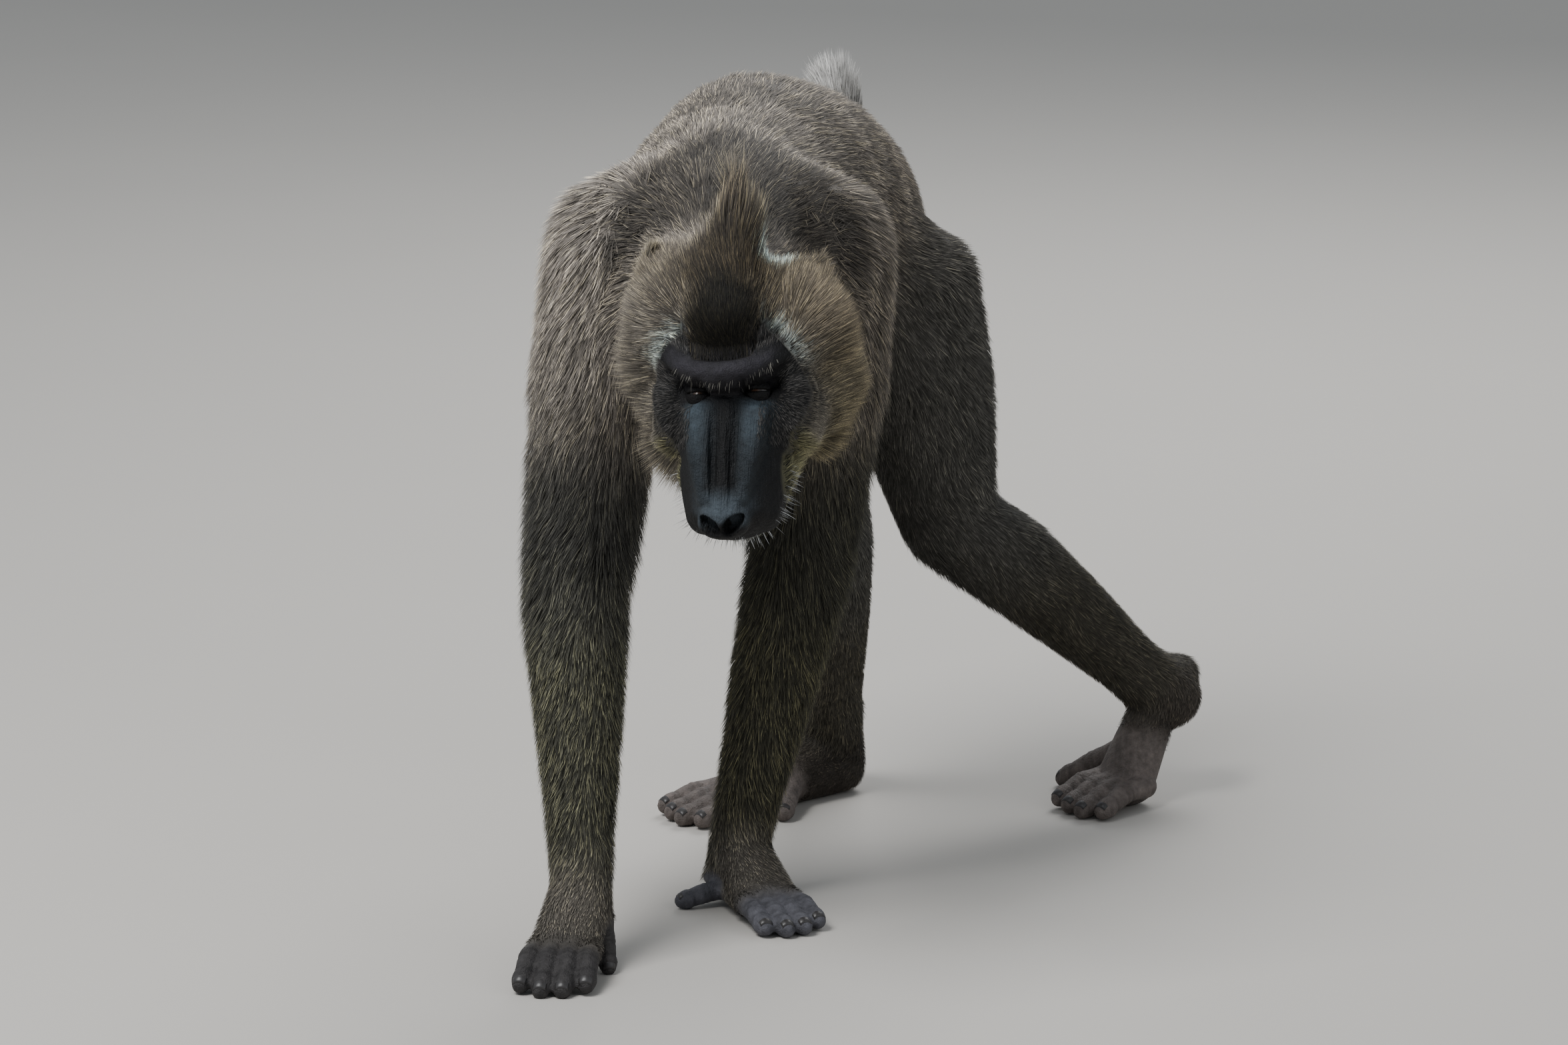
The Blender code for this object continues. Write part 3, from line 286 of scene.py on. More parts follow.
@dataclass
class Trunk:
    """Neck, chest, belly, rump and the tail's flesh."""

    reach: float = 0.030
    stations: tuple = (
        ((-0.046, -0.020, 0.462), 0.060, 0.066),
        ((-0.047, 0.020, 0.452), 0.076, 0.092),
        ((-0.047, 0.065, 0.450), 0.086, 0.104),
        ((-0.044, 0.120, 0.454), 0.092, 0.112),
        ((-0.038, 0.180, 0.460), 0.095, 0.108),
        ((-0.019, 0.240, 0.478), 0.095, 0.104),
        ((0.004, 0.295, 0.472), 0.090, 0.092),
        ((0.025, 0.342, 0.453), 0.081, 0.086),
        ((0.043, 0.378, 0.435), 0.069, 0.078),
        ((0.056, 0.402, 0.418), 0.050, 0.060),
    )
    seat: Vector = field(default_factory=lambda: Vector((0.068, 0.410, 0.399)))
    seat_spread: float = 0.022
    pelvis_left: Vector = field(default_factory=lambda: Vector((0.77, -0.64, 0.0)))
    pelvis_back: Vector = field(default_factory=lambda: Vector((0.64, 0.77, 0.0)))

    def trunk(self) -> list:
        """The blobs from chest to rump."""
        blobs, last = [], len(self.stations) - 1
        for index, (centre, width, height) in enumerate(self.stations):
            way = Vector(self.stations[min(last, index + 1)][0]) - Vector(self.stations[max(0, index - 1)][0])
            blobs.append(Blob(Vector(centre), (width, height, self.reach), axes_along(way)))
        return blobs

    def neck(self) -> list:
        """The blobs from the head's back to the shoulders."""
        x = BONES.chest_x
        return [
            Blob(Vector((x, -0.070, 0.452)), (0.052, 0.040, 0.056)),
            Blob(Vector((x, -0.030, 0.460)), (0.056, 0.040, 0.062)),
            Blob(Vector((x, 0.010, 0.472)), (0.066, 0.040, 0.074)),
            Blob(Vector((x, 0.060, 0.480)), (0.074, 0.050, 0.074)),
        ]

    def tail(self) -> list:
        """The blobs of the short tail."""
        sizes = ((-0.35, 0.026), (0.0, 0.018), (0.45, 0.012), (0.70, 0.008))
        return [Blob(along(BONES.tail_root, BONES.tail_tip(), share), radius) for share, radius in sizes]

    def seat_pad(self, side: Side) -> Blob:
        """The bare pad that a side of the animal sits on."""
        level = columns(-self.pelvis_left, Vector((0, 0, 1)), self.pelvis_back)
        axes = level @ Matrix.Rotation(math.radians(22), 3, "X")
        return Blob(self.seat + self.pelvis_left * side.value * self.seat_spread, (0.0195, 0.0170, 0.0100), axes)

    def chains(self) -> list:
        """All the trunk's chains."""
        return [self.trunk(), self.neck(), self.tail()] + [[self.seat_pad(side)] for side in Side]


@dataclass
class Arm:
    """An arm from the shoulder blade to the fingers."""

    side: Side
    lag: tuple = (0.007, 0.0, 0.001, 0.009)
    left_hand_ahead: Vector = field(default_factory=lambda: Vector((0.38, -0.92, 0)).normalized())

    def upper(self) -> list:
        """Shoulder, upper arm, forearm and the point of the elbow."""
        out, shoulder = self.side.value, BONES.shoulder(self.side)
        elbow, wrist = BONES.elbow(self.side), BONES.wrist(self.side)
        return [
            [
                Blob(Vector((BONES.chest_x + out * 0.040, 0.085, 0.496)), (0.046, 0.062, 0.052)),
                Blob(shoulder + Vector((0, 0.002, 0.016)), (0.050, 0.066, 0.066)),
                Blob(along(shoulder, elbow, 0.30, (out * 0.002, -0.004, 0)), (0.050, 0.060, 0.060)),
            ],
            limb_chain(
                [along(shoulder, elbow, share, (0, 0.005, 0)) for share in (0.30, 0.55, 0.80, 1.0)],
                [(0.050, 0.058), (0.047, 0.053), (0.043, 0.047), (0.040, 0.042)],
                Vector((1, 0, 0)),
            ),
            limb_chain(
                [along(elbow, wrist, share) for share in (0.0, 0.22, 0.5, 0.78, 1.0, 1.10)],
                [(0.040, 0.042), (0.038, 0.040), (0.033, 0.034), (0.027, 0.027), (0.0235, 0.021), (0.022, 0.018)],
                Vector((1, 0, 0)),
            ),
            [Blob(along(elbow, shoulder, 0.06, (0, 0.024, 0)), (0.020, 0.020, 0.030))],
        ]

    def palm(self) -> tuple[Vector, Vector, Vector]:
        """The middle knuckle, the longest fingertip and the way across the hand."""
        wrist = BONES.wrist(self.side)
        if self.side is Side.RIGHT:
            knuckle, tip = Vector((-0.152, -0.100, 0.0200)), Vector((-0.160, -0.153, 0.0046))
            return knuckle, tip, Vector((1, -0.10, 0)).normalized()
        ahead = self.left_hand_ahead
        knuckle = Vector((wrist.x, wrist.y, 0)) + ahead * 0.054 + Vector((0, 0, 0.0125))
        return knuckle, knuckle + ahead * 0.054 + Vector((0, 0, -0.0063)), Vector((0.92, 0.38, 0)).normalized()

    def digits(self) -> list[Digit]:
        """Four fingers and the thumb."""
        knuckle, tip, across = self.palm()
        wrist = BONES.wrist(self.side)
        if self.side is Side.RIGHT:
            made = fan_of_digits(
                knuckle, tip, across, spread=0.0185, fan=0.0225, radius=0.0076, lag=self.lag, arch=0.006
            )
            root = along(wrist, knuckle, 0.30, (0.018, 0.006, -0.012))
            return made + [Digit(root, Vector((-0.122, -0.094, 0.0044)), radius=0.0070, arch=0.002)]
        made = fan_of_digits(knuckle, tip, across, spread=0.0175, fan=0.0205, radius=0.0076, lag=self.lag, arch=0.003)
        root = Vector((wrist.x, wrist.y, 0.0125)) + self.left_hand_ahead * 0.012 - across * 0.012
        return made + [Digit(root, root - across * 0.036 + Vector((0, 0.002, -0.0065)), radius=0.0072, arch=0.001)]

    def hand(self) -> list:
        """Wrist, palm and fingers."""
        knuckle, _, across = self.palm()
        wrist, elbow = BONES.wrist(self.side), BONES.elbow(self.side)
        share, thick = (0.45, 0.0155) if self.side is Side.RIGHT else (0.5, 0.0150)
        chains = [
            limb_chain(
                [along(elbow, wrist, 0.85), wrist, along(wrist, knuckle, share), along(wrist, knuckle, 0.97)],
                [(0.0250, 0.0250), (0.0225, 0.0200), (0.0235, thick), (0.0255, 0.0115)],
                across,
            )
        ]
        if self.side is Side.RIGHT:
            chains.append([Blob(knuckle + Vector((0, 0.004, -0.0085)), (0.024, 0.013, 0.0105))])
        else:
            ahead = self.left_hand_ahead
            heel = Vector((wrist.x, wrist.y, 0.0125)) + ahead * 0.006
            chains.append([Blob(heel, (0.021, 0.021, 0.0130)), Blob(knuckle - ahead * 0.012, (0.026, 0.020, 0.0125))])
        return chains + [digit.chain() for digit in self.digits()]


@dataclass
class Leg:
    """A leg from the haunch to the toes."""

    side: Side
    lag: tuple = (0.009, 0.003, 0.0, 0.006)

    def back(self) -> tuple[Vector, Vector]:
        """The axis that the knee bends round, and the way to the back of the thigh."""
        hip, knee, ankle = BONES.hip(self.side), BONES.knee(self.side), BONES.ankle(self.side)
        bend = (ankle - knee).cross(hip - knee).normalized()
        back = bend.cross(knee - hip).normalized()
        return bend, -back if back.dot(ankle - knee) < 0 else back

    def upper(self) -> list:
        """Haunch, thigh and shank."""
        hip, knee, ankle = BONES.hip(self.side), BONES.knee(self.side), BONES.ankle(self.side)
        bend, back = self.back()
        thigh = [
            along(hip, knee, share) + back * shift for share, shift in ((0.1, 0.014), (0.45, 0.012), (0.78, 0.006))
        ]
        calf = [along(knee, ankle, share) + back * shift for share, shift in ((0.0, 0.0), (0.25, 0.006), (0.55, 0.004))]
        return [
            [
                Blob(hip + Vector((0, 0, 0.004)), (0.056, 0.062, 0.066)),
                Blob(along(hip, knee, 0.35) + back * 0.012, (0.052, 0.060, 0.056)),
            ],
            limb_chain(thigh + [knee], [(0.052, 0.068), (0.048, 0.061), (0.042, 0.050), (0.037, 0.039)], bend),
            limb_chain(
                calf + [along(knee, ankle, 0.85), along(knee, ankle, 1.05)],
                [(0.037, 0.040), (0.036, 0.041), (0.031, 0.035), (0.025, 0.028), (0.022, 0.025)],
                bend,
            ),
        ]

    def sole(self) -> tuple[Vector, Vector, Vector, Vector]:
        """Heel, ball, longest toe tip and the way across the foot."""
        ahead, heading = BONES.foot_ahead(self.side), BONES.foot_heading[self.side]
        across = Vector((math.cos(heading), -math.sin(heading), 0))
        if self.side is Side.RIGHT:
            heel = Vector((0.044, 0.400, 0.0185))
            ball = heel + ahead * 0.098 + Vector((0, 0, -0.0045))
            return heel, ball, ball + ahead * 0.060 + Vector((0, 0, -0.0075)), across
        ball = Vector((0.256, 0.362, 0.0170))
        return Vector((0.297, 0.404, 0.0920)), ball, ball + ahead * 0.056 + Vector((0, 0, -0.0105)), across

    def digits(self) -> list[Digit]:
        """Four toes and the big toe."""
        heel, ball, tip, across = self.sole()
        if self.side is Side.RIGHT:
            made = fan_of_digits(ball, tip, across, spread=0.0205, fan=0.0240, radius=0.0080, lag=self.lag, arch=0.003)
            root = along(heel, ball, 0.62) + across * 0.014
            end = root + across * 0.030 + BONES.foot_ahead(self.side) * 0.030 + Vector((0, 0, -0.0085))
            return made + [Digit(root, end, radius=0.0085, arch=0.001)]
        made = fan_of_digits(ball, tip, across, spread=0.0200, fan=0.0235, radius=0.0080, lag=self.lag, arch=0.004)
        root = along(heel, ball, 0.72) - across * 0.014
        return made + [Digit(root, Vector((0.212, 0.412, 0.0062)), radius=0.0085, arch=0.001)]

    def foot(self) -> list:
        """Ankle, sole and toes."""
        heel, ball, _, across = self.sole()
        knee, ankle = BONES.knee(self.side), BONES.ankle(self.side)
        right = self.side is Side.RIGHT
        stub = limb_chain(
            [along(knee, ankle, 0.88), ankle, along(ankle, heel, 0.72)],
            [(0.0260, 0.0290), (0.0230, 0.0260), (0.0195, 0.0215)],
            across,
        )
        if right:
            chains = [
                [
                    Blob(heel, (0.0190, 0.0190, 0.0200)),
                    Blob(along(heel, ball, 0.40, (0, 0, 0.0020)), (0.0200, 0.0200, 0.0215)),
                    Blob(ball, (0.0270, 0.0270, 0.0150)),
                ],
                [Blob(ankle, 0.0225), Blob(along(heel, ball, 0.55, (0, 0, 0.0050)), (0.0200, 0.0200, 0.0170))],
            ]
        else:
            chains = [
                limb_chain(
                    [heel, along(heel, ball, 0.45, (-0.004, -0.003, 0.002)), ball],
                    [(0.0185, 0.0180), (0.0195, 0.0170), (0.0260, 0.0155)],
                    across,
                ),
                [Blob(ankle, 0.0220), Blob(along(heel, ball, 0.50, (-0.006, -0.006, 0.006)), 0.0165)],
                [Blob(ball + BONES.foot_ahead(self.side) * 0.004 + Vector((0, 0, -0.004)), (0.0240, 0.0180, 0.0140))],
            ]
        return [stub] + chains + [digit.chain() for digit in self.digits()]


def fan_of_digits(
    knuckle: Vector, tip: Vector, across: Vector, spread: float, fan: float, radius: float, lag: tuple, arch: float
) -> list[Digit]:
    """Four digits side by side.

    Args:
        knuckle: The middle of the knuckles.
        tip: The longest digit's tip.
        across: The way across the palm or sole.
        spread: How far the outer knuckles are from the middle.
        fan: The same at the tips.
        radius: Half a digit's thickness.
        lag: How far each tip falls behind the longest.
        arch: How high the middle joints rise.

    Returns:
        The four digits.
    """
    ahead, made = (tip - knuckle).normalized(), []
    for index, behind in enumerate(lag):
        offset = (index - 1.5) / 1.5
        made.append(
            Digit(knuckle + across * offset * spread, tip + across * offset * fan - ahead * behind, radius, arch)
        )
    return made


@dataclass
class Head:
    """Cranium, muzzle, brow, cheeks and ears."""

    ruff_spread: dict = field(default_factory=lambda: {Side.LEFT: 0.041, Side.RIGHT: 0.050})
    crest_core: tuple = (0.040, -0.104)
    ear_size: tuple = (0.030, 0.042)
    brow_arc: tuple = (
        (-0.0400, -0.0300, -0.0190),
        (-0.0280, -0.0195, -0.0100),
        (-0.0145, -0.0130, -0.0035),
        (0.0, -0.0105, -0.0015),
        (0.0145, -0.0130, -0.0035),
        (0.0280, -0.0195, -0.0100),
        (0.0400, -0.0300, -0.0190),
    )

    def cranium(self) -> list:
        """Vault, nape and the crest's flesh."""
        skull = HEAD.skull_blob
        return [
            [
                skull(0, -0.036, -0.104, 0.054, 0.056, 0.030),
                skull(0, -0.022, -0.064, 0.060, 0.054, 0.036),
                skull(0, -0.016, -0.028, 0.046, 0.032, 0.022),
            ],
            [
                skull(0, 0.004, -0.042, 0.032, 0.026, 0.028),
                skull(0, 0.028, -0.084, 0.022, 0.020, 0.026),
                skull(0, *self.crest_core, 0.010, 0.010, 0.012),
            ],
        ]

    def muzzle(self) -> list:
        """Snout, nose, brow ridge and lower jaw."""
        muzzle, skull = HEAD.muzzle_blob, HEAD.skull_blob
        return [
            [
                muzzle(0, -0.048, 0.006, 0.047, 0.030, 0.020),
                muzzle(0, -0.049, 0.048, 0.037, 0.029, 0.018),
                muzzle(0, -0.047, 0.086, 0.030, 0.026, 0.016),
            ],
            [
                muzzle(0, -0.077, 0.079, 0.018, 0.013, 0.013),
                muzzle(0, -0.078, 0.052, 0.027, 0.019, 0.020),
                muzzle(0, -0.084, 0.006, 0.044, 0.028, 0.026),
                skull(0, -0.066, -0.070, 0.052, 0.036, 0.030),
            ],
            [
                muzzle(*NOSE, 0.0185, 0.0125, 0.0115),
                muzzle(0, -0.0345, 0.0780, 0.0200, 0.0140, 0.0120),
            ],
            [
                muzzle(0, -0.0270, 0.016, 0.0050, 0.0105, 0.010),
                muzzle(0, -0.0260, 0.056, 0.0050, 0.0105, 0.010),
                muzzle(0, -0.0275, 0.092, 0.0085, 0.0095, 0.010),
            ],
            [muzzle(left, out, down, 0.0105, 0.0130, 0.0122) for left, out, down in self.brow_arc],
        ]

    def cheek(self, side: Side) -> list:
        """The nasal ridge, upper lip, cheekbone and the ruff's flesh of one side."""
        muzzle, skull, out, spread = HEAD.muzzle_blob, HEAD.skull_blob, side.value, self.ruff_spread[side]
        return [
            [
                [muzzle(out * left, -0.0262, 0.0230, 0.0050, 0.0085, 0.0070) for left in (0.0145, 0.0262)],
                [muzzle(out * left, -0.0242, 0.0520, 0.0050, 0.0085, 0.0080) for left in (0.0130, 0.0215)],
                [muzzle(out * left, -0.0270, 0.0820, 0.0050, 0.0080, 0.0080) for left in (0.0105, 0.0140)],
            ],
            [
                muzzle(out * 0.0195, -0.052, 0.085, 0.0135, 0.015, 0.012),
                muzzle(out * 0.0270, -0.053, 0.056, 0.0125, 0.020, 0.014),
            ],
            [
                muzzle(out * 0.043, -0.040, 0.002, 0.015, 0.016, 0.016),
                muzzle(out * 0.043, -0.050, 0.024, 0.015, 0.018, 0.016),
                skull(out * 0.044, -0.058, -0.058, 0.026, 0.030, 0.030),
            ],
            [
                muzzle(out * 0.038, -0.036, -0.010, 0.014, 0.016, 0.016),
                skull(out * 0.044, -0.018, -0.062, 0.026, 0.040, 0.030),
            ],
            [
                skull(out * (spread - 0.006), -0.006, -0.078, 0.024, 0.028, 0.026),
                skull(out * spread, -0.042, -0.068, 0.026, 0.036, 0.030),
                skull(out * (spread - 0.009), -0.078, -0.050, 0.022, 0.026, 0.024),
            ],
        ]

    def chains(self) -> list:
        """All the head's chains."""
        made = self.cranium() + self.muzzle()
        for side in Side:
            made += self.cheek(side)
        return made

    def ear_leaf(self, side: Side, core: BVHTree) -> bmesh.types.BMesh:
        """A rounded ear, set on the head with its cup turned out and ahead.

        Args:
            side: The animal's side.
            core: The head's surface.

        Returns:
            The ear as a closed mesh.
        """
        out, centre = side.value, HEAD.on_skull(0, -0.030, -0.062)
        up = (HEAD.left * out * 0.72 + HEAD.up * 0.58 - HEAD.ahead * 0.38).normalized()
        root = core.ray_cast(centre + up * 0.4, -up)[0]
        middle = root + up * (self.ear_size[1] / 2 - 0.030)
        facing = HEAD.ahead * 0.75 + HEAD.left * out * 0.66
        facing = (facing - up * facing.dot(up)).normalized()
        across = up.cross(facing)
        sizes = (self.ear_size[0] / 2, self.ear_size[1] / 2, 0.0036)
        leaf = Blob(middle, sizes, columns(across, up, across.cross(up)))
        bm = bmesh.new()
        bmesh.ops.create_icosphere(bm, subdivisions=4, radius=1.0, matrix=leaf.matrix())
        for vert in bm.verts:
            offset = vert.co - middle
            share = math.hypot(offset.dot(across) / sizes[0], offset.dot(up) / sizes[1])
            vert.co += facing * 0.0025 * (share**2 - 0.5)
        return bm


def add_object(name: str, bm: bmesh.types.BMesh) -> bpy.types.Object:
    """A new object from a bmesh, which is freed."""
    mesh = bpy.data.meshes.new(name)
    bm.to_mesh(mesh)
    bm.free()
    obj = bpy.data.objects.new(name, mesh)
    bpy.context.scene.collection.objects.link(obj)
    return obj


def settle(obj: bpy.types.Object) -> bpy.types.Object:
    """Applies an object's modifiers."""
    bpy.context.view_layer.update()
    mesh = bpy.data.meshes.new_from_object(obj.evaluated_get(bpy.context.evaluated_depsgraph_get()))
    obj.modifiers.clear()
    obj.data = mesh
    return obj


def add_hull(bm: bmesh.types.BMesh, blobs: list) -> None:
    """Adds the convex hull of some blobs to a bmesh.

    Args:
        bm: The mesh that grows.
        blobs: What the hull wraps.
    """
    hull = bmesh.new()
    for blob in blobs:
        bmesh.ops.create_icosphere(hull, subdivisions=4, radius=1.0, matrix=blob.matrix())
    if len(blobs) > 1:
        made = bmesh.ops.convex_hull(hull, input=hull.verts)
        inside = [item for item in made["geom_interior"] if isinstance(item, bmesh.types.BMVert)]
        bmesh.ops.delete(hull, geom=inside, context="VERTS")
        bmesh.ops.delete(hull, geom=[vert for vert in hull.verts if not vert.link_faces], context="VERTS")
    bmesh.ops.recalc_face_normals(hull, faces=hull.faces)
    append(bm, hull)


def append(bm: bmesh.types.BMesh, other: bmesh.types.BMesh) -> None:
    """Adds one bmesh to another and frees it."""
    mesh = bpy.data.meshes.new("part")
    other.to_mesh(mesh)
    other.free()
    bm.from_mesh(mesh)
    bpy.data.meshes.remove(mesh)


def hulls(chains: list) -> bmesh.types.BMesh:
    """The hulls of several chains, not yet fused.

    Args:
        chains: Lists of blobs. A link may be several blobs side by side.

    Returns:
        A bmesh of overlapping closed shells.
    """
    bm = bmesh.new()
    for chain in chains:
        links = [link if isinstance(link, list) else [link] for link in chain]
        if len(links) == 1:
            add_hull(bm, links[0])
        for first, second in zip(links, links[1:]):
            add_hull(bm, first + second)
    return bm


def points_of(mesh: bpy.types.Mesh) -> np.ndarray:
    """The places of a mesh's vertices."""
    flat = np.empty(len(mesh.vertices) * 3, np.float32)
    mesh.vertices.foreach_get("co", flat)
    return flat.reshape(-1, 3).astype(float)


def normals_of(mesh: bpy.types.Mesh) -> np.ndarray:
    """The normals of a mesh's vertices."""
    flat = np.empty(len(mesh.vertices) * 3, np.float32)
    mesh.vertex_normals.foreach_get("vector", flat)
    return flat.reshape(-1, 3).astype(float)


def write_points(mesh: bpy.types.Mesh, points: np.ndarray) -> None:
    """Moves a mesh's vertices."""
    mesh.vertices.foreach_set("co", points.astype(np.float32).ravel())
    mesh.update()


def write_numbers(mesh: bpy.types.Mesh, name: str, values: np.ndarray) -> None:
    """Writes a named number for each vertex."""
    mesh.attributes.new(name, "FLOAT", "POINT").data.foreach_set("value", values.astype(np.float32))


def write_tints(mesh: bpy.types.Mesh, tints: np.ndarray) -> None:
    """Writes a colour for each vertex, as the marking that the finishes read."""
    rows = np.concatenate([tints, np.ones((len(tints), 1))], axis=1)
    mesh.attributes.new("marking", "FLOAT_COLOR", "POINT").data.foreach_set("color", rows.astype(np.float32).ravel())


def tint_toward(tints: np.ndarray, tint: tuple, share: np.ndarray) -> None:
    """Draws the tints toward one, in place, by a share for each point."""
    tints += (np.array(tint) - tints) * share[:, None]


def unit(vectors: np.ndarray) -> np.ndarray:
    """The vectors at length one."""
    return vectors / np.maximum(np.linalg.norm(vectors, axis=1, keepdims=True), 1e-9)


def raised(flat: np.ndarray, normals: np.ndarray, angle: np.ndarray) -> np.ndarray:
    """The ways that leave the skin at an angle."""
    return flat * np.cos(angle)[:, None] + normals * np.sin(angle)[:, None]


def hump(distance: np.ndarray, width: float) -> np.ndarray:
    """A smooth hump: 1 at no distance, falling to 0 past about two widths."""
    return np.exp(-((distance / width) ** 2))


def rise_between(values: np.ndarray, low: float, high: float) -> np.ndarray:
    """A smooth step from 0 at low to 1 at high."""
    share = np.clip((values - low) / (high - low), 0, 1)
    return share * share * (3 - 2 * share)


def ripple(points: np.ndarray, scale: float, seed: int) -> np.ndarray:
    """A smooth wandering field between about -1 and 1.

    Args:
        points: Where it is read.
        scale: The size of its waves in metres.
        seed: Which field.

    Returns:
        One value for each point.
    """
    draw = np.random.default_rng(seed)
    total = np.zeros(len(points))
    for _ in range(5):
        way = draw.normal(size=3)
        turns = points @ (way / np.linalg.norm(way)) * (2 * math.pi / scale) * draw.uniform(0.6, 1.5)
        total += np.sin(turns + draw.uniform(0, 6.3))
    return total / 3.0


@dataclass(frozen=True)
class Zone:
    """A stretch of the animal and its coat, round the line from start to end.

    Attributes:
        piece: The coat piece that the zone's tufts belong to.
        start: Where the line starts.
        end: Where it ends.
        radius: How far from the line the zone counts.
        depth: How deep the coat is laid into the flesh.
        hair: The tufts' length.
        width: The tufts' width.
        rise: The angle that they stand up by.
        density: Tufts on a square metre.
        tint: The colour of coat or skin.
        pale: The share of pale tips.
        bare: How bare the skin is.
        lie: How the tufts lie.
        aim: The way or the point of the lie.
    """

    piece: str
    start: Vector
    end: Vector
    radius: float
    depth: float
    hair: float
    width: float
    rise: float
    density: float
    tint: tuple
    pale: float = 0.5
    bare: float = 0.0
    lie: Lie = Lie.ALONG
    aim: Vector = field(default_factory=lambda: Vector((0, 0, -1)))

    def distance(self, points: np.ndarray) -> np.ndarray:
        """How far each point is from the zone's line, measured in its radius."""
        start, run = np.array(self.start), np.array(self.end - self.start)
        share = np.clip(((points - start) @ run) / max(run @ run, 1e-9), 0, 1)
        return np.linalg.norm(points - start - share[:, None] * run, axis=1) / self.radius

    def way(self, points: np.ndarray) -> np.ndarray:
        """The way that the hair lies at each point."""
        aim = np.array(self.aim)
        if self.lie is Lie.AWAY:
            return unit(points - aim)
        if self.lie is Lie.TOWARD:
            return unit(aim - points)
        return np.tile(aim / np.linalg.norm(aim), (len(points), 1))


@dataclass(frozen=True)
class Mark:
    """A patch of colour round a point, laid over the zones."""

    centre: Vector
    sizes: tuple
    tint: tuple
    strength: float = 1.0

    def share(self, points: np.ndarray) -> np.ndarray:
        """How much of the patch's colour each point takes, measured in the head's axes."""
        offset = (points - np.array(self.centre)) @ np.array([HEAD.left, HEAD.up, HEAD.ahead]).T / np.array(self.sizes)
        away = np.linalg.norm(offset, axis=1) - 0.16 * ripple(points, 0.008, 17)
        return self.strength * rise_between(-away, -1.32, -0.72)


